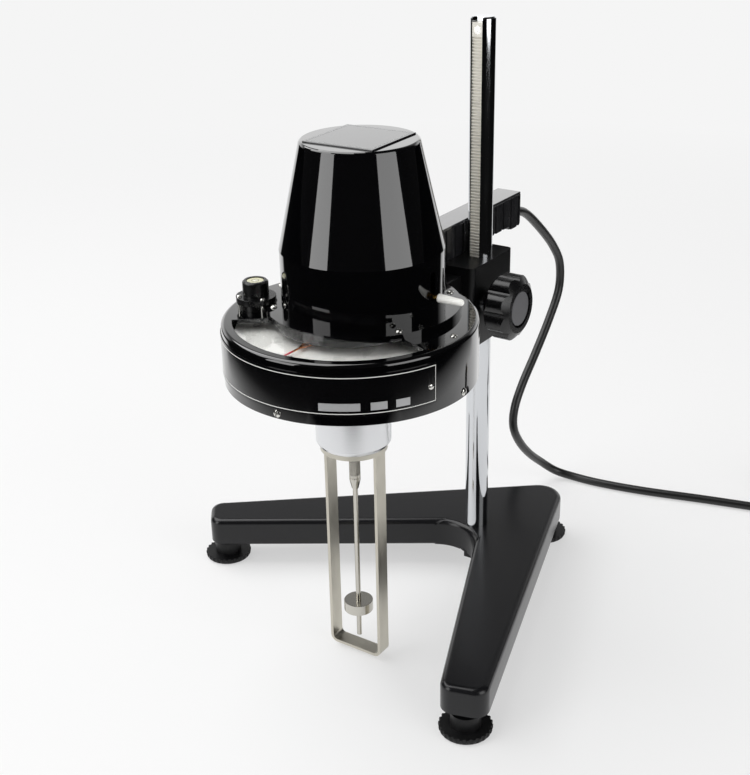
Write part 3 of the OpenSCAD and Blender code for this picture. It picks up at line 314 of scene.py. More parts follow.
# The plug is moulded on, with four finger grooves down each side
grooves, first_groove, groove_pitch, groove_size = 4, 11, 3.4, (1.8, 1.5, 8)
plug = one_skin("plug_body")
low, high = ((Vector(corner) - column_foot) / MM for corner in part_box("plug_body"))
plug_place = Matrix.Translation(column_foot)
for groove in range(grooves):
    for side in (low.x, high.x):
        groove_middle = (side, low.y + first_groove + groove_pitch * groove, (low.z + high.z) / 2)
        cut_away(plug, add_block(plug_place, groove_size, groove_middle))
finish_surface(plug, 0.5)
stand_for(plug, pvc, "plug_body")
# Machined brass: warm and bright, a little duller in patches
brass, brass_shader = new_material("machined brass", "#C9A25A", roughness=0.25, metallic=1.0)
vary_roughness(brass, brass_shader, low=0.2, high=0.36, size_mm=4.0)
dress(brass, "plug_pins")
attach(mains_cord, "head")
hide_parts("cord", "cord_coil")


def break_edges(name, width, material, segments=2, smooth=32):
    """The node's own shape with its edges broken as they are on the real piece."""
    piece = one_skin(name)
    finish_surface(piece, width, segments, smooth=smooth)
    stand_for(piece, material, name)


# The strain relief is a tapered PVC sleeve, moulded on where the lead leaves the handle
break_edges("strain_relief", 0.4, pvc)

# ---------------------------------------------------------------------------
# The studio: white paper on a table that ends in front of the instrument, a
# white backdrop low behind it, a dark room, and three softboxes. Two of them
# stand upright at the sides and show as strips on the glossy cover.
# ---------------------------------------------------------------------------
bpy.ops.mesh.primitive_plane_add(size=30, location=(0, 0, 0))
floor = bpy.context.object
floor.name = "studio_floor"
to_camera = Vector((math.sin(camera_az), -math.cos(camera_az), 0.0))
# Paper: matt white. The lens sees it evenly white further out, with the shadow near the feet
paper, paper_shader = new_material("seamless paper", "#ECECEC", roughness=0.9, Specular_IOR_Level=0.1)
floor.data.materials.append(paper)
ray_kind = add_node(paper, "ShaderNodeLightPath")
spot = add_node(paper, "ShaderNodeTexCoord")
# Mirrored in the gloss, the paper ends half a metre ahead
ahead = add_node(paper, "ShaderNodeVectorMath", {"operation": "DOT_PRODUCT", 1: to_camera},
                 Vector=spot.outputs["Object"])
past_edge = add_node(paper, "ShaderNodeMapRange", {"From Min": 0.42, "From Max": 0.50},
                     Value=ahead.outputs["Value"])
# Further out than half a metre it is a wedge that widens backwards, with a dark room beside it
aside = add_node(paper, "ShaderNodeVectorMath", {"operation": "DOT_PRODUCT", 1: level_right},
                 Vector=spot.outputs["Object"])
either_side = add_node(paper, "ShaderNodeMath", {"operation": "ABSOLUTE"}, [aside.outputs["Value"]])
only_behind = add_node(paper, "ShaderNodeMath", {"operation": "MINIMUM", 1: 0.0},
                       [ahead.outputs["Value"]])
widening = add_node(paper, "ShaderNodeMath", {"operation": "MULTIPLY_ADD", 1: 0.55},
                    [only_behind.outputs["Value"], None, either_side.outputs["Value"]])
past_side = add_node(paper, "ShaderNodeMapRange", {"From Min": 0.24, "From Max": 0.32},
                     Value=widening.outputs["Value"])
reach_out = add_node(paper, "ShaderNodeVectorMath", {"operation": "LENGTH"},
                     Vector=spot.outputs["Object"])
out_there = add_node(paper, "ShaderNodeMapRange", {"From Min": 0.50, "From Max": 0.58},
                     Value=reach_out.outputs["Value"])
side_out_there = add_node(paper, "ShaderNodeMath", {"operation": "MULTIPLY"},
                          [past_side.outputs["Result"], out_there.outputs["Result"]])
past_any = add_node(paper, "ShaderNodeMath", {"operation": "MAXIMUM"},
                    [past_edge.outputs["Result"], side_out_there.outputs["Value"]])
dark_room = add_node(paper, "ShaderNodeMath", {"operation": "MULTIPLY"},
                     [past_any.outputs["Value"], ray_kind.outputs["Is Glossy Ray"]])
black_cloth = add_node(paper, "ShaderNodeBsdfDiffuse", {"Color": linear("#101010")})
even_white = add_node(paper, "ShaderNodeEmission", {"Color": linear("#F5F5F5"), "Strength": 1.0})
seen_or_mirrored = add_node(paper, "ShaderNodeMath", {"operation": "MAXIMUM"},
                            [ray_kind.outputs["Is Camera Ray"], ray_kind.outputs["Is Glossy Ray"]])
far_share = add_node(paper, "ShaderNodeMapRange",
                     {"From Min": 0.45, "From Max": 1.5, "To Min": 0.55, "To Max": 1.0},
                     Value=reach_out.outputs["Value"])
whitened = add_node(paper, "ShaderNodeMath", {"operation": "MULTIPLY"},
                    [seen_or_mirrored.outputs["Value"], far_share.outputs["Result"]])
white_paper = add_node(paper, "ShaderNodeMixShader", (),
                       [whitened.outputs["Value"], paper_shader.outputs["BSDF"],
                        even_white.outputs["Emission"]])
paper_or_dark = add_node(paper, "ShaderNodeMixShader", (),
                         [dark_room.outputs["Value"], white_paper.outputs["Shader"],
                          black_cloth.outputs["BSDF"]])
paper_end = paper.node_tree.nodes["Material Output"]
paper.node_tree.links.new(paper_or_dark.outputs["Shader"], paper_end.inputs["Surface"])

world = bpy.data.worlds.new("studio")
bpy.context.scene.world = world
world.use_nodes = True
sky = world.node_tree.nodes["Background"]
sky.inputs["Color"].default_value = (1.0, 1.0, 1.0, 1.0)
sky_ray = add_node(world, "ShaderNodeLightPath")
sky_way = add_node(world, "ShaderNodeTexCoord")
# The backdrop is bright below its top, and a third as bright on the wall above it
sky_axes = add_node(world, "ShaderNodeSeparateXYZ", Vector=sky_way.outputs["Generated"])
below_top = add_node(world, "ShaderNodeMapRange", {"From Min": 0.42, "From Max": 0.30},
                     Value=sky_axes.outputs["Z"])
dim_wall = add_node(world, "ShaderNodeMapRange", {"From Min": 0.76, "From Max": 0.66},
                    Value=sky_axes.outputs["Z"])
wall = add_node(world, "ShaderNodeMath", {"operation": "MULTIPLY_ADD", 1: 0.3},
                [dim_wall.outputs["Result"], None, below_top.outputs["Result"]])
# It stands only behind the instrument
facing = add_node(world, "ShaderNodeVectorMath", {"operation": "DOT_PRODUCT", 1: -to_camera},
                  Vector=sky_way.outputs["Generated"])
behind = add_node(world, "ShaderNodeMapRange", {"From Min": 0.55, "From Max": 0.72},
                  Value=facing.outputs["Value"])
backdrop = add_node(world, "ShaderNodeMath", {"operation": "MULTIPLY"},
                    [wall.outputs["Value"], behind.outputs["Result"]])
mirrored = add_node(world, "ShaderNodeMapRange", {"From Max": 1.3, "To Min": 0.02, "To Max": 1.15},
                    Value=backdrop.outputs["Value"])
# Gloss mirrors the backdrop, dull surfaces get an even light, and the lens sees plain white
lit = add_node(world, "ShaderNodeMix", {"A": 0.36}, Factor=sky_ray.outputs["Is Glossy Ray"],
               B=mirrored.outputs["Result"])
seen = add_node(world, "ShaderNodeMath", {"operation": "MAXIMUM"},
                [sky_ray.outputs["Is Camera Ray"], sky_ray.outputs["Is Transmission Ray"]])
shown = add_node(world, "ShaderNodeMix", {"B": 0.94}, Factor=seen.outputs["Value"],
                 A=lit.outputs["Result"])
world.node_tree.links.new(shown.outputs["Result"], sky.inputs["Strength"])
cap_centre = Vector((-13.5, -115.4, 0))


def add_softbox(name, azimuth, height, size, distance, radiance, tilt=0.0):
    """A rectangular area lamp that faces the motor cover's axis from a direction."""
    lamp = bpy.data.lights.new(name, "AREA")
    lamp.shape = "RECTANGLE"
    lamp.size, lamp.size_y = size
    lamp.energy = 4 * radiance * size[0] * size[1]
    softbox = bpy.data.objects.new(name, lamp)
    bpy.context.scene.collection.objects.link(softbox)
    az, el = math.radians(azimuth), math.radians(tilt)
    away = Vector((math.cos(az) * math.cos(el), math.sin(az) * math.cos(el), math.sin(el)))
    softbox.location = column_foot + (cap_centre + Vector((0, 0, height))) * MM + away * distance
    softbox.rotation_euler = away.to_track_quat("Z", "Y").to_euler()


add_softbox("softbox_left", azimuth=-116, height=900, size=(0.95, 1.7), distance=2.0, radiance=2.4)
add_softbox("softbox_right", azimuth=-6, height=900, size=(1.4, 1.7), distance=2.0, radiance=2.0)
add_softbox("softbox_top", azimuth=190, height=300, size=(2.4, 2.4), distance=2.3, radiance=2.6, tilt=58)

# ---------------------------------------------------------------------------
# The base is a V-shaped iron casting in black stove enamel. The column stands
# at its corner, and each of its three feet screws up into a threaded hole.
# ---------------------------------------------------------------------------
# Enamel on cast iron: half gloss, with the soft waviness of the sand casting
cast_enamel, cast_shader = new_material("enamel on cast iron", "#131315", roughness=0.24,
                                        Specular_IOR_Level=0.4)
add_grain(cast_enamel, cast_shader, size_mm=5.0, depth_mm=0.03)
break_edges("base_casting", 0, cast_enamel, smooth=40)

# ---------------------------------------------------------------------------
# The three levelling feet are blackened steel: a thin knurled disc under a
# plain hub, whose screw goes up into its thread in the base.
# ---------------------------------------------------------------------------
# Blackened steel: dull black with the tool's marks worn bright here and there
blackened_steel, blackened_shader = new_material("blackened steel", "#161617", roughness=0.4, metallic=0.4)
vary_roughness(blackened_steel, blackened_shader, low=0.32, high=0.5, size_mm=6.0)
disc_t, foot_hub_r = 4.5, 9.5
knurl_clear_r, knurl_top, hub_top = 25, 16.5, 20


def add_cylinder(centre, radius, low, high, sides=160):
    """A closed cylinder at its size and place, in the column's frame, with its place in its mesh."""
    bpy.ops.mesh.primitive_cylinder_add(vertices=sides, radius=radius * MM, depth=(high - low) * MM)
    piece = bpy.context.object
    middle = Vector((centre.x, centre.y, (low + high) / 2)) * MM + column_foot
    piece.data.transform(Matrix.Translation(middle))
    return piece


for name in ("foot_left", "foot_right", "foot_rear"):
    low, high = (Vector(corner) - column_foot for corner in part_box(name))
    foot_centre = (low + high) / 2 / MM
    waste = add_cylinder(foot_centre, knurl_clear_r, disc_t, knurl_top, sides=64)
    cut_away(waste, add_cylinder(foot_centre, foot_hub_r, 0, hub_top, sides=64))
    foot = one_skin(name)
    cut_away(foot, waste)
    finish_surface(foot, 0.4)
    stand_for(foot, blackened_steel, name)

# ---------------------------------------------------------------------------
# The column is ground steel in polished chrome, with a steel rack let into a
# slot down its front and held by two screws. A stud and nut hold it below.
# ---------------------------------------------------------------------------
# Chrome plate: a clear mirror with the faintest lengthwise polishing marks
chrome, chrome_shader = new_material("polished chrome", "#D6D8DB", roughness=0.06, metallic=1.0)
vary_roughness(chrome, chrome_shader, low=0.04, high=0.1, size_mm=4.0, stretch=(1, 1, 0.1))
dress(chrome, "column")
# Milled steel: bright, with the cutter's marks running across the teeth
milled_steel, milled_shader = new_material("milled steel", "#EAE7DE", roughness=0.5, metallic=0.4)
add_grain(milled_steel, milled_shader, size_mm=0.6, depth_mm=0.01, stretch=(0.2, 1, 1))
dress(milled_steel, "rack")
# Nickel plate: bright and slightly yellow, on small turned screws
nickel, nickel_shader = new_material("nickel plate", "#DAD9D4", roughness=0.16, metallic=1.0)
vary_roughness(nickel, nickel_shader, low=0.12, high=0.24, size_mm=1.5)
break_edges("rack_screws", 0, nickel)
dress(blackened_steel, "column_washer", "column_nut")

# ---------------------------------------------------------------------------
# The clamp block slides on the column. It and the bracket that carries the
# head are milled castings under black stove enamel. The pinion's shaft turns
# in a chromed bush on its side, and a nickel screw sets how stiffly it slides.
# ---------------------------------------------------------------------------
# Satin enamel: black with a soft shine, on milled faces
satin_enamel, satin_shader = new_material("satin black enamel", "#0A0A0B", roughness=0.28,
                                          Specular_IOR_Level=0.6)
add_grain(satin_enamel, satin_shader, size_mm=2.0, depth_mm=0.01)
for name, width in (("clamp_block", 1.0), ("head_bracket", 0.8)):
    break_edges(name, width, satin_enamel)
break_edges("bracket_screws", 0.3, blackened_steel)
dress(chrome, "pinion_bush")
dress(nickel, "pinion_shaft", "tension_screw")

# ---------------------------------------------------------------------------
# The height knob is moulded in black phenolic with eight lobes. A printed
# grey insert closes its end.
# ---------------------------------------------------------------------------
# Phenolic: moulded black with a soft gloss
phenolic, phenolic_shader = new_material("moulded phenolic", "#0D0D0E", roughness=0.24)
vary_roughness(phenolic, phenolic_shader, low=0.2, high=0.34, size_mm=8.0)
break_edges("height_knob", 0.9, phenolic, segments=3)
# Printed insert: plain grey with the faint tooth of the print
knob_insert, insert_shader = new_material("printed knob insert", "#5B5B5D", roughness=0.45)
add_grain(knob_insert, insert_shader, size_mm=0.8, depth_mm=0.01)
break_edges("knob_cap", 0.3, knob_insert)

# ---------------------------------------------------------------------------
# The housing is a shallow turned cup in glossy black stove enamel. A window
# is cut through its top, and screws hold its floor and the window.
# ---------------------------------------------------------------------------
# Stove enamel: deep black and mirror-like, with a little orange peel
stove_enamel, enamel_shader = new_material("stove enamel", "#030304", roughness=0.05, Coat_Weight=1.0,
                                           Coat_Roughness=0.02, Specular_IOR_Level=0.4)
add_grain(stove_enamel, enamel_shader, size_mm=2.5, depth_mm=0.003)
disc_centre = Vector((-13.5, -129.4, 0))
housing_radius, housing_low, housing_top, housing_wall = 75.7, 200.0, 236.0, 3.0
neck_radius, rim_round = 22, 2.5
window_outer, window_inner, window_from, window_to = 69.0, 44.0, -142.0, -19.0
window_low, window_high = 225, 245
# How far a cutter reaches past what it cuts
past = 5


def edit_faces(piece, wanted):
    """Opens a piece in edit mode with only the wanted faces selected; wanted takes (centre, normal)."""
    pick(piece)
    bpy.ops.object.mode_set(mode="EDIT")
    bpy.ops.mesh.select_all(action="DESELECT")
    bpy.ops.object.mode_set(mode="OBJECT")
    for face in piece.data.polygons:
        face.select = wanted((face.center - column_foot) / MM, face.normal)
    bpy.ops.object.mode_set(mode="EDIT")
    bpy.ops.mesh.select_mode(type="FACE")


def is_top(at, normal):
    """Whether a face looks up, as the flat end of a turned piece does."""
    return normal.z > 0.9


def sector(centre, outer, inner, low, high, start, end):
    """A block that fills part of a ring, from one angle to another."""
    block = add_cylinder(centre, outer, low, high, sides=360)
    cut_away(block, add_cylinder(centre, inner, low - past, high + past, sides=360))
    for angle, side in ((start, 1), (end, -1)):
        pick(block)
        bpy.ops.object.mode_set(mode="EDIT")
        bpy.ops.mesh.select_all(action="SELECT")
        a = math.radians(angle)
        bpy.ops.mesh.bisect(plane_co=centre * MM + column_foot,
                            plane_no=(side * math.sin(a), -side * math.cos(a), 0),
                            use_fill=True, clear_outer=True)
        bpy.ops.object.mode_set(mode="OBJECT")
    return block


shell = add_cylinder(disc_centre, housing_radius, housing_low, housing_top, sides=192)
shell.name = "housing_shell_turned"
edit_faces(shell, is_top)
bpy.ops.mesh.bevel(offset=rim_round * MM, segments=6, affect="EDGES")
bpy.ops.object.mode_set(mode="OBJECT")
cut_away(shell, add_cylinder(disc_centre, housing_radius - housing_wall, housing_low - past,
                             housing_top - housing_wall, sides=192))
cut_away(shell, add_cylinder(disc_centre, neck_radius, housing_low, housing_top + past, sides=96))
cut_away(shell, sector(disc_centre, window_outer, window_inner, window_low, window_high,
                       window_from, window_to))
finish_surface(shell, 0.3, angle=40)
stand_for(shell, stove_enamel, "housing_shell")
dress(stove_enamel, "housing_floor")


def cut_slots(name, places, length, width, depth):
    """Nickel screws with a driver's slot cut across each head: place, way out, way along."""
    piece = one_skin(name)
    for place, outwards, along in places:
        outwards, along = Vector(outwards).normalized(), Vector(along).normalized()
        turned = Matrix((along, outwards.cross(along), outwards)).transposed().to_4x4()
        head = Matrix.Translation(place * MM + column_foot) @ turned
        cut_away(piece, add_block(head, (length, width, 2 * depth)))
    finish_surface(piece)
    stand_for(piece, nickel, name)


def on_circle(centre, radius, degrees, z=0.0):
    """A point on a circle round an upright axis, at some height."""
    a = math.radians(degrees)
    return centre + Vector((math.cos(a), math.sin(a), 0)) * radius + Vector((0, 0, z))


screw_proud, floor_screw_z = 1.2, 203.3
housing_heads = [(on_circle(disc_centre, housing_radius + screw_proud, a, floor_screw_z),
                  on_circle(Vector(), 1, a), (0.2, 0.1, 1)) for a in (-88, 2, 182)]
cut_slots("housing_screws", housing_heads, length=6, width=0.7, depth=0.7)
from_rim, window_screw_top = 6.7, 237.2
window_heads = [(on_circle(disc_centre, housing_radius - from_rim, a, window_screw_top),
                 (0, 0, 1), (1, 0.4, 0)) for a in (2, 163)]
cut_slots("window_screws", window_heads, length=5, width=0.6, depth=0.7)

# ---------------------------------------------------------------------------
# The nameplate is a thin black sheet riveted round the housing. It is left
# blank: only a fine white border and three silver fields are printed on it.
# ---------------------------------------------------------------------------
# Anodised plate: a thin black sheet with a deep shine
anodised, anodised_shader = new_material("black anodised aluminium", "#060607", roughness=0.1,
                                         Coat_Weight=0.6, Coat_Roughness=0.03)
add_grain(anodised, anodised_shader, size_mm=0.8, depth_mm=0.002)
break_edges("nameplate", 0.12, anodised)
dress(nickel, "nameplate_rivets")
plate_proud, blank_height, blank_z, print_t = 0.52, 30, 218, 0.03


def print_on_plate(name, wanted, cuts, material):
    """A printed film on the nameplate: the wanted faces of a fine ring cut at some heights."""
    bpy.ops.mesh.primitive_cylinder_add(vertices=1440, radius=(housing_radius + plate_proud) * MM,
                                        depth=blank_height * MM, end_fill_type="NOTHING")
    ring = bpy.context.object
    ring.name = name
    ring.data.transform(Matrix.Translation((disc_centre + Vector((0, 0, blank_z))) * MM + column_foot))
    pick(ring)
    bpy.ops.object.mode_set(mode="EDIT")
    for height in cuts:
        bpy.ops.mesh.select_all(action="SELECT")
        bpy.ops.mesh.bisect(plane_co=(0, 0, height * MM + column_foot.z), plane_no=(0, 0, 1))
    bpy.ops.object.mode_set(mode="OBJECT")

    def unwanted(at, normal):
        way = at - disc_centre
        return not wanted(math.degrees(math.atan2(way.y, way.x)) + 90, at.z)

    edit_faces(ring, unwanted)
    bpy.ops.mesh.delete(type="FACE")
    bpy.ops.object.mode_set(mode="OBJECT")
    apply_modifier(ring, "SOLIDIFY", thickness=print_t * MM, offset=1.0)
    bpy.ops.object.shade_smooth_by_angle(angle=math.radians(30))
    ring.data.materials.append(material)
    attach(ring, "head")


# Screen print: flat white ink that stands just proud of the black
white_ink, white_ink_shader = new_material("white screen print", "#D9D9D6", roughness=0.4)
add_grain(white_ink, white_ink_shader, size_mm=0.5, depth_mm=0.003)
border_half, border_low, border_high, line = 72.5, 207.3, 228.9, 0.45
line_angle = math.degrees(line / housing_radius)


def on_border(a, z):
    """Whether a point at an angle from the plate's middle, at a height, is on the border."""
    inside = abs(a) < border_half and border_low < z < border_high
    at_ends = abs(a) > border_half - line_angle
    return inside and (at_ends or not border_low + line < z < border_high - line)


print_on_plate("nameplate_border", on_border,
               (border_low, border_low + line, border_high - line, border_high), white_ink)
# Silver print: a pale brushed metal look, left free for engraving
silver_ink, silver_ink_shader = new_material("silver screen print", "#B9BABB", roughness=0.35, metallic=0.5)
add_grain(silver_ink, silver_ink_shader, size_mm=0.4, depth_mm=0.004, stretch=(0.3, 0.3, 1))
field_low, field_high = 209.2, 213.8
fields = ((21.2, 38.5), (42.8, 49.8), (53.5, 59.8))


def on_field(a, z):
    """Whether a point at an angle from the plate's middle, at a height, is on a silver field."""
    return field_low < z < field_high and any(start < a < end for start, end in fields)


print_on_plate("nameplate_fields", on_field, (field_low, field_high), silver_ink)

# ---------------------------------------------------------------------------
# The works are brass plates and gears on nickelled pillars, with a die-cast
# motor and a fine spring. They are seen only when the cover is off.
# ---------------------------------------------------------------------------
dress(brass, "gear_plate_lower", "gear_plate_upper", "motor_pinion", "layshaft_gears", "dial_drive",
      "lower_bearing")
dress(nickel, "plate_pillars", "hairspring")
# Die-cast alloy: grey and slightly rough, as it comes from the mould
die_cast, die_cast_shader = new_material("die-cast alloy", "#9A9C9F", roughness=0.45, metallic=1.0)
add_grain(die_cast, die_cast_shader, size_mm=1.2, depth_mm=0.02)
dress(die_cast, "motor_body")

# ---------------------------------------------------------------------------
# The dial is a white enamelled disc with a printed scale from 0 to 100. The
# copper pointer above it has a red tip, and a clear window covers both.
# ---------------------------------------------------------------------------
# Clear acrylic: a polished sheet that lets the lamps through to the dial
acrylic, acrylic_shader = new_material("clear acrylic", "#FFFFFF", roughness=0.01, IOR=1.49,
                                       Transmission_Weight=1.0)
vary_roughness(acrylic, acrylic_shader, low=0.0, high=0.03, size_mm=12.0)
through = add_node(acrylic, "ShaderNodeLightPath")
clear_air = add_node(acrylic, "ShaderNodeBsdfTransparent", {"Color": linear("#F4F4F4")})
lit_through = add_node(acrylic, "ShaderNodeMixShader", (),
                       [through.outputs["Is Shadow Ray"], acrylic_shader.outputs["BSDF"],
                        clear_air.outputs["BSDF"]])
acrylic_end = acrylic.node_tree.nodes["Material Output"]
acrylic.node_tree.links.new(lit_through.outputs["Shader"], acrylic_end.inputs["Surface"])
dress(acrylic, "dial_window")
# Dial enamel: warm white with an even half gloss
dial_enamel, dial_shader = new_material("white dial enamel", "#D6D6D2", roughness=0.3)
vary_roughness(dial_enamel, dial_shader, low=0.24, high=0.4, size_mm=10.0)
dress(dial_enamel, "dial_plate")
# Copper: bright metal, with its tip dipped in red paint from some way out
copper_colour, pointer_z, paint_from, paint_full = "#C07A4E", 229.4, 52.5, 52.8
copper, copper_shader = new_material("copper-coloured pointer", copper_colour, roughness=0.28, metallic=1.0)
vary_roughness(copper, copper_shader, low=0.22, high=0.36, size_mm=3.0)
pointer_place = add_node(copper, "ShaderNodeTexCoord")
pointer_axis = (disc_centre + Vector((0, 0, pointer_z))) * MM + column_foot
reach = add_node(copper, "ShaderNodeVectorMath", {"operation": "DISTANCE", 1: pointer_axis},
                 Vector=pointer_place.outputs["Object"])
dipped = add_node(copper, "ShaderNodeMapRange",
                  {"From Min": paint_from * MM, "From Max": paint_full * MM},
                  Value=reach.outputs["Value"])
tip_paint = add_node(copper, "ShaderNodeMix",
                     {"data_type": "RGBA", 6: linear(copper_colour), 7: linear("#B3122A")},
                     Factor=dipped.outputs["Result"])
copper.node_tree.links.new(tip_paint.outputs[2], copper_shader.inputs["Base Color"])
still_metal = add_node(copper, "ShaderNodeMath", {"operation": "SUBTRACT", 0: 1.0},
                       [None, dipped.outputs["Result"]])
copper.node_tree.links.new(still_metal.outputs["Value"], copper_shader.inputs["Metallic"])
dress(copper, "pointer")
# Scale print: dull black ink on the enamel
black_ink, black_ink_shader = new_material("black scale print", "#1A1A1C", roughness=0.5)
add_grain(black_ink, black_ink_shader, size_mm=0.5, depth_mm=0.002)
dial_face, ink_t, zero_angle, division = 227.2, 0.05, -93.0, 3.0
mark_end, ten_mark, five_mark, one_mark = 66.5, 6.0, 4.4, 3.0
ten_mark_w, mark_w, number_radius, number_size = 0.6, 0.45, 56.0, 6.0
dial_place = Matrix.Translation(disc_centre * MM + column_foot)
ink_z = dial_face + ink_t / 2
marks = []
for step in range(101):
    length = ten_mark if step % 10 == 0 else five_mark if step % 5 == 0 else one_mark
    mark_width = mark_w if step % 10 else ten_mark_w
    mark_turn = Matrix.Rotation(math.radians(zero_angle + step * division), 4, "Z")
    marks.append(add_block(dial_place @ mark_turn, (length, mark_width, ink_t),
                           (mark_end - length / 2, 0, ink_z)))
for step in range(0, 101, 10):
    a = zero_angle + step * division
    bpy.ops.object.text_add()
    number = bpy.context.object
    number.data.body = str(step)
    number.data.size = number_size * MM
    number.data.align_x = "CENTER"
    number.data.align_y = "CENTER"
    number.data.extrude = ink_t / 2 * MM
    pick(number)
    bpy.ops.object.convert(target="MESH")
    number_place = on_circle(disc_centre, number_radius, a, ink_z) * MM + column_foot
    number.data.transform(Matrix.Translation(number_place) @ Matrix.Rotation(math.radians(a + 90), 4, "Z"))
    marks.append(number)
pick(marks[0])
for mark in marks:
    mark.select_set(True)
bpy.ops.object.join()
scale_print = bpy.context.object
scale_print.name = "dial_scale"
scale_print.data.materials.clear()
scale_print.data.materials.append(black_ink)
for face in scale_print.data.polygons:
    face.material_index = 0
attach(scale_print, "dial")

# ---------------------------------------------------------------------------
# The ring under the cover is turned and enamelled. Its spigot centres the
# cover, four screws hold it, and it has a hole for the level and a gap for
# the lever.
# ---------------------------------------------------------------------------
ring_radius, ring_top, spigot_radius, spigot_high, spigot_wall = 58.0, 240.0, 46.55, 5, 1.8
below_ring, above_ring, level_hole_r = 230, 250, 12.4
lever_gap_w, gap_middle, gap_high, through_wall = 5.0, 46, 9.9, 10
cap_place = Matrix.Translation(cap_centre * MM + column_foot)
lever_bearing, level_circle, level_bearing = -0.5, 57.9, -161
lever_place = cap_place @ Matrix.Rotation(math.radians(lever_bearing), 4, "Z")
level_centre = on_circle(disc_centre, level_circle, level_bearing)
ring = add_cylinder(cap_centre, ring_radius, housing_top, ring_top, sides=192)
ring.name = "cap_ring_turned"
edit_faces(ring, is_top)
bpy.ops.mesh.inset(thickness=(ring_radius - spigot_radius) * MM)
bpy.ops.mesh.extrude_region_move(TRANSFORM_OT_translate={"value": (0, 0, spigot_high * MM)})
bpy.ops.object.mode_set(mode="OBJECT")
cut_away(ring, add_cylinder(cap_centre, spigot_radius - spigot_wall, below_ring, above_ring))
cut_away(ring, add_cylinder(level_centre, level_hole_r, below_ring, above_ring, sides=96))
cut_away(ring, add_block(lever_place, (through_wall, lever_gap_w, gap_high),
                         (gap_middle, 0, ring_top + spigot_high)))
finish_surface(ring, 0.4, segments=3, angle=40)
stand_for(ring, stove_enamel, "cap_ring")
screw_circle, ring_screw_top = 53.3, 241.5
ring_heads = [(on_circle(cap_centre, screw_circle, a, ring_screw_top), (0, 0, 1), (1, 0.6, 0))
              for a in (-138, -34, 47, 141)]
cut_slots("ring_screws", ring_heads, length=5.5, width=0.65, depth=0.8)

# ---------------------------------------------------------------------------
# The cover over the motor is one deep-drawn can in stove enamel: a straight
# skirt, a cone above it and a flat top. The lever comes out of a slot in its
# wall and the speed knob's stem out of a round hole.
# ---------------------------------------------------------------------------
cap_radius, cap_top_radius, knee, cap_top, cap_wall, cap_round = 48.6, 34.5, 274.7, 337.5, 2.0, 1.6


def add_can(radius, top_radius, low, bend, top):
    """A cylinder whose top is drawn in to a cone above the bend."""
    can = add_cylinder(cap_centre, radius, low, bend)
    edit_faces(can, is_top)
    middle = Vector((cap_centre.x, cap_centre.y, bend)) * MM + column_foot
    bpy.ops.mesh.extrude_region_move(TRANSFORM_OT_translate={"value": (0, 0, (top - bend) * MM)})
    bpy.ops.transform.resize(value=(top_radius / radius, top_radius / radius, 1), center_override=middle)
    bpy.ops.object.mode_set(mode="OBJECT")
    return can


cover = add_can(cap_radius, cap_top_radius, ring_top, knee, cap_top)
cover.name = "motor_cover_drawn"
edit_faces(cover, is_top)
bpy.ops.mesh.bevel(offset=cap_round * MM, segments=5, affect="EDGES")
bpy.ops.object.mode_set(mode="OBJECT")
cut_away(cover, add_can(cap_radius - cap_wall, cap_top_radius - cap_wall, ring_top - cap_wall, knee,
                        cap_top - cap_wall))
slot_z, slot_high, slot_round = 258.0, 17, 2.4
skirt_middle = cap_radius - cap_wall / 2
slot_cutter = add_block(lever_place, (through_wall, lever_gap_w, slot_high), (skirt_middle, 0, slot_z))
apply_modifier(slot_cutter, "BEVEL", width=slot_round * MM, segments=6, limit_method="ANGLE")
cut_away(cover, slot_cutter)
speed_bearing, speed_z, stem_hole_r = 152, 254.0, 3.1
speed_place = cap_place @ Matrix.Rotation(math.radians(speed_bearing), 4, "Z")
bpy.ops.mesh.primitive_cylinder_add(vertices=48, radius=stem_hole_r * MM, depth=through_wall * MM)
bore_cutter = bpy.context.object
bore_cutter.data.transform(speed_place @ Matrix.Translation(Vector((skirt_middle, 0, speed_z)) * MM)
                           @ Matrix.Rotation(math.radians(90), 4, "Y"))
cut_away(cover, bore_cutter)
finish_surface(cover, smooth=9)
stand_for(cover, stove_enamel, "motor_cover")
break_edges("speed_knob", 0.5, phenolic)

# ---------------------------------------------------------------------------
# A square plate lies on the cover's flat top: black card under a clear film,
# with a fine silver line printed just inside its edge.
# ---------------------------------------------------------------------------
# A clear film over black card, clean and glassy
film, film_shader = new_material("clear film on black card", "#202022", roughness=0.06,
                                 Specular_IOR_Level=0.8, Coat_Weight=0.6, Coat_Roughness=0.03)
vary_roughness(film, film_shader, low=0.04, high=0.12, size_mm=14.0)
break_edges("top_plate", 0.2, film)
plate_half, plate_top, plate_turn = 23.25, 338.3, 2
line_inset, line_w, line_lift = 1.6, 0.5, 0.02
bpy.ops.mesh.primitive_plane_add(size=2 * (plate_half - line_inset) * MM)
plate_line = bpy.context.object
plate_line.name = "top_plate_line"
line_place = (cap_centre + Vector((0, 0, plate_top + line_lift))) * MM + column_foot
plate_line.data.transform(Matrix.Translation(line_place)
                          @ Matrix.Rotation(math.radians(plate_turn), 4, "Z"))
pick(plate_line)
bpy.ops.object.mode_set(mode="EDIT")
bpy.ops.mesh.select_all(action="SELECT")
bpy.ops.mesh.inset(thickness=line_w * MM, use_boundary=True)
bpy.ops.mesh.delete(type="FACE")
bpy.ops.object.mode_set(mode="OBJECT")
apply_modifier(plate_line, "SOLIDIFY", thickness=print_t * MM, offset=1.0)
plate_line.data.materials.append(silver_ink)
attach(plate_line, "head")

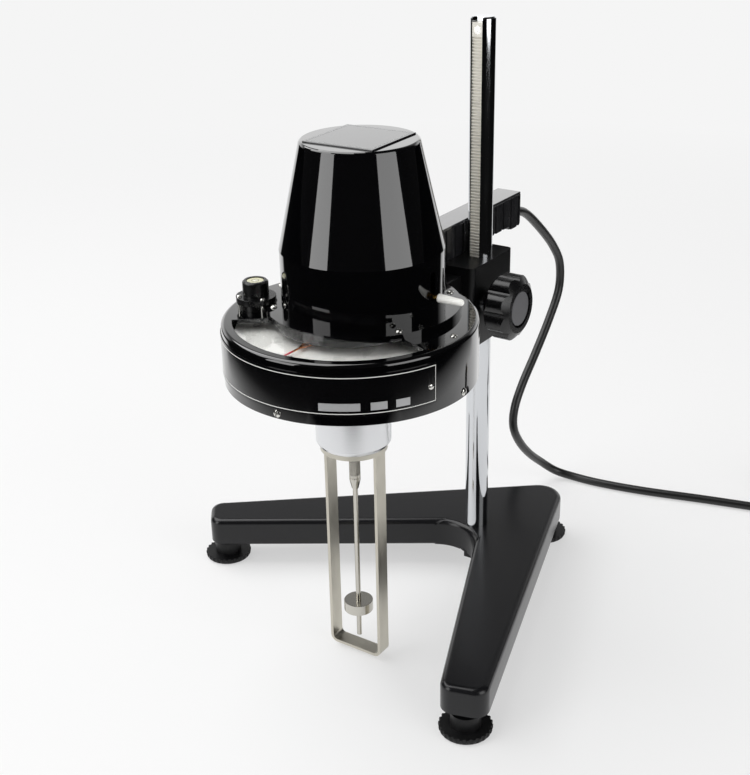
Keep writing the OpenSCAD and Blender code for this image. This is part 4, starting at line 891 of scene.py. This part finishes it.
# ---------------------------------------------------------------------------
# The level is a bull's-eye vial in a black cup with a flange. Three small
# adjusters between the flange and the housing set it true.
# ---------------------------------------------------------------------------
flange_low, flange_clear_r, cup_radius = 240.2, 20, 8.6
mount = one_skin("level_mount")
under_flange = add_cylinder(level_centre, flange_clear_r, housing_top - 1, flange_low, sides=96)
cut_away(under_flange, add_cylinder(level_centre, cup_radius, below_ring, above_ring, sides=96))
cut_away(mount, under_flange)
finish_surface(mount, 0.35)
stand_for(mount, phenolic, "level_mount")
adjuster_bearings, adjuster_circle, adjuster_radius = (-130, -30, 100), 10.0, 1.3
adjusters = []
for bearing in adjuster_bearings:
    adjuster = add_cylinder(on_circle(level_centre, adjuster_circle, bearing), adjuster_radius,
                            housing_top, flange_low, sides=24)
    edit_faces(adjuster, lambda at, normal: abs(normal.z) < 0.5)
    bpy.ops.mesh.subdivide(number_cuts=6)
    bpy.ops.object.mode_set(mode="OBJECT")
    adjusters.append(adjuster)
pick(adjusters[0])
for adjuster in adjusters:
    adjuster.select_set(True)
bpy.ops.object.join()
level_adjusters = bpy.context.object
level_adjusters.name = "level_adjusters"
bpy.ops.object.shade_smooth_by_angle(angle=math.radians(40))
level_adjusters.data.materials.append(nickel)
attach(level_adjusters, "head")
# The vial: pale yellow liquid under polished glass
vial, vial_shader = new_material("bull's-eye vial", "#D2CFA2", roughness=0.05, Coat_Weight=1.0)
vary_roughness(vial, vial_shader, low=0.02, high=0.1, size_mm=3.0)
break_edges("level_vial", 0.3, vial)
cup_high, glass_sunk = 17.5, 0.4
vial_place = Matrix.Translation((level_centre + Vector((0, 0, housing_top + cup_high - glass_sunk))) * MM
                                + column_foot)
ring_line_r, ring_line_t, ring_flatness = 2.1, 0.28, 0.5
bpy.ops.mesh.primitive_torus_add(major_radius=ring_line_r * MM, minor_radius=ring_line_t / 2 * MM,
                                 major_segments=48, minor_segments=8)
vial_ring = bpy.context.object
vial_ring.name = "level_ring"
vial_ring.data.transform(vial_place @ Matrix.Diagonal((1, 1, ring_flatness, 1)))
bpy.ops.object.shade_smooth_by_angle(angle=math.radians(60))
vial_ring.data.materials.append(black_ink)
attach(vial_ring, "head")
bubble_aside, bubble_r, bubble_flatness = Vector((0.5, -0.3, 0)), 1.5, 0.16
bpy.ops.mesh.primitive_uv_sphere_add(segments=32, ring_count=16, radius=bubble_r * MM)
bubble = bpy.context.object
bubble.name = "level_bubble"
bubble.data.transform(vial_place @ Matrix.Translation(bubble_aside * MM)
                      @ Matrix.Diagonal((1, 1, bubble_flatness, 1)))
bpy.ops.object.shade_smooth_by_angle(angle=math.radians(60))
# The air bubble: pale, with a bright rim
air, air_shader = new_material("air bubble", "#F0EFDC", roughness=0.04, Coat_Weight=1.0)
vary_roughness(air, air_shader, low=0.02, high=0.08, size_mm=1.0)
bubble.data.materials.append(air)
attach(bubble, "head")
level_screw_circle, level_screw_top = 10.2, 245.3
level_heads = [(on_circle(level_centre, level_screw_circle, bearing, level_screw_top),
                (0, 0, 1), (1, -0.5, 0)) for bearing in adjuster_bearings]
cut_slots("level_screws", level_heads, length=4, width=0.5, depth=0.6)

# ---------------------------------------------------------------------------
# The collar under the housing is turned aluminium. The guard is a U of satin
# stainless strip, and the spindle hangs in it from a knurled coupling.
# ---------------------------------------------------------------------------
# Turned aluminium: bright, with fine rings from the lathe that soften it
turned_aluminium, turned_shader = new_material("turned aluminium", "#E2E3E5", roughness=0.22, metallic=1.0)
add_grain(turned_aluminium, turned_shader, size_mm=0.9, depth_mm=0.006, stretch=(0.05, 0.05, 1))
break_edges("boss_collar", 0.4, turned_aluminium)
# Stainless strip: satin, a little warm, with rubbed patches
stainless, stainless_shader = new_material("satin stainless steel", "#C9C5B9", roughness=0.34, metallic=1.0)
vary_roughness(stainless, stainless_shader, low=0.28, high=0.42, size_mm=5.0, stretch=(1, 1, 0.25))
break_edges("spindle_guard", 0.35, stainless)
# Turned stainless: brighter than the strip, with fine rings round it
turned_steel, turned_steel_shader = new_material("turned stainless steel", "#C8C5BD", roughness=0.2,
                                                 metallic=1.0)
add_grain(turned_steel, turned_steel_shader, size_mm=0.7, depth_mm=0.004, stretch=(0.05, 0.05, 1))
break_edges("spindle", 0.2, turned_steel)
dress(turned_steel, "pivot_shaft")
# Knurled stainless: crossed grooves 0.9 mm apart on the grip, plain below it
knurl_pitch, knurl_lean, knurl_depth, grip_low, grip_full = 0.9, 24.0, 0.12, 130.5, 131
knurled, knurled_shader = new_material("knurled stainless steel", "#C8C5BD", roughness=0.24, metallic=1.0)
knurl_place = add_node(knurled, "ShaderNodeTexCoord")
knurl_centred = add_node(knurled, "ShaderNodeMapping", {"Location": -(disc_centre * MM + column_foot)},
                         Vector=knurl_place.outputs["Object"])
knurl_axes = add_node(knurled, "ShaderNodeSeparateXYZ", Vector=knurl_centred.outputs["Vector"])
knurl_turn = add_node(knurled, "ShaderNodeMath", {"operation": "ARCTAN2"},
                      [knurl_axes.outputs["Y"], knurl_axes.outputs["X"]])
knurl_z = add_node(knurled, "ShaderNodeMath",
                   {"operation": "MULTIPLY", 1: 2 * math.pi / (knurl_pitch * MM)},
                   [knurl_axes.outputs["Z"]])
waves = []
for lean in (knurl_lean, -knurl_lean):
    helix = add_node(knurled, "ShaderNodeMath", {"operation": "MULTIPLY_ADD", 1: lean},
                     [knurl_turn.outputs["Value"], None, knurl_z.outputs["Value"]])
    wave = add_node(knurled, "ShaderNodeMath", {"operation": "SINE"}, [helix.outputs["Value"]])
    waves.append(wave.outputs["Value"])
crossed = add_node(knurled, "ShaderNodeMath", {"operation": "MAXIMUM"}, waves)
on_grip = add_node(knurled, "ShaderNodeMapRange", {"From Min": grip_low * MM, "From Max": grip_full * MM},
                   Value=knurl_axes.outputs["Z"])
grip_height = add_node(knurled, "ShaderNodeMath", {"operation": "MULTIPLY"},
                       [crossed.outputs["Value"], on_grip.outputs["Result"]])
knurl_bump = add_node(knurled, "ShaderNodeBump", {"Strength": 1.0, "Distance": knurl_depth * MM},
                      Height=grip_height.outputs["Value"])
knurled.node_tree.links.new(knurl_bump.outputs["Normal"], knurled_shader.inputs["Normal"])
break_edges("spindle_coupling", 0.12, knurled)

# ---------------------------------------------------------------------------
# The lever that clamps the pointer is a brass arm. It ends in a white plastic
# sleeve that is pushed on over it.
# ---------------------------------------------------------------------------
dress(brass, "lever_arm")
# White plastic: clean, with a soft moulded gloss
sleeve, sleeve_shader = new_material("white plastic sleeve", "#FAF9F4", roughness=0.3)
vary_roughness(sleeve, sleeve_shader, low=0.2, high=0.34, size_mm=4.0)
break_edges("lever_sleeve", 0.25, sleeve)

# ---------------------------------------------------------------------------
# The handle is a ribbed black moulding behind the head. A thin glossy cover
# is let into its top, and a rocker switch into its left side.
# ---------------------------------------------------------------------------
# Moulded handle: black and half glossy, a little duller where it is held
handle_black, handle_shader = new_material("moulded black handle", "#1C1C1E", roughness=0.22,
                                           Specular_IOR_Level=0.7)
vary_roughness(handle_black, handle_shader, low=0.16, high=0.28, size_mm=12.0)
break_edges("handle_body", 0.45, handle_black)
# Glossy cover: a polished black strip that mirrors the room
cover_black, cover_shader = new_material("glossy black cover", "#2E2E30", roughness=0.06, Coat_Weight=1.0,
                                         Coat_Roughness=0.03, Specular_IOR_Level=1.0)
vary_roughness(cover_black, cover_shader, low=0.04, high=0.1, size_mm=10.0)
break_edges("handle_cover", 0.35, cover_black)
break_edges("power_switch", 0.4, phenolic)

bpy.context.scene.view_settings.view_transform = "Standard"
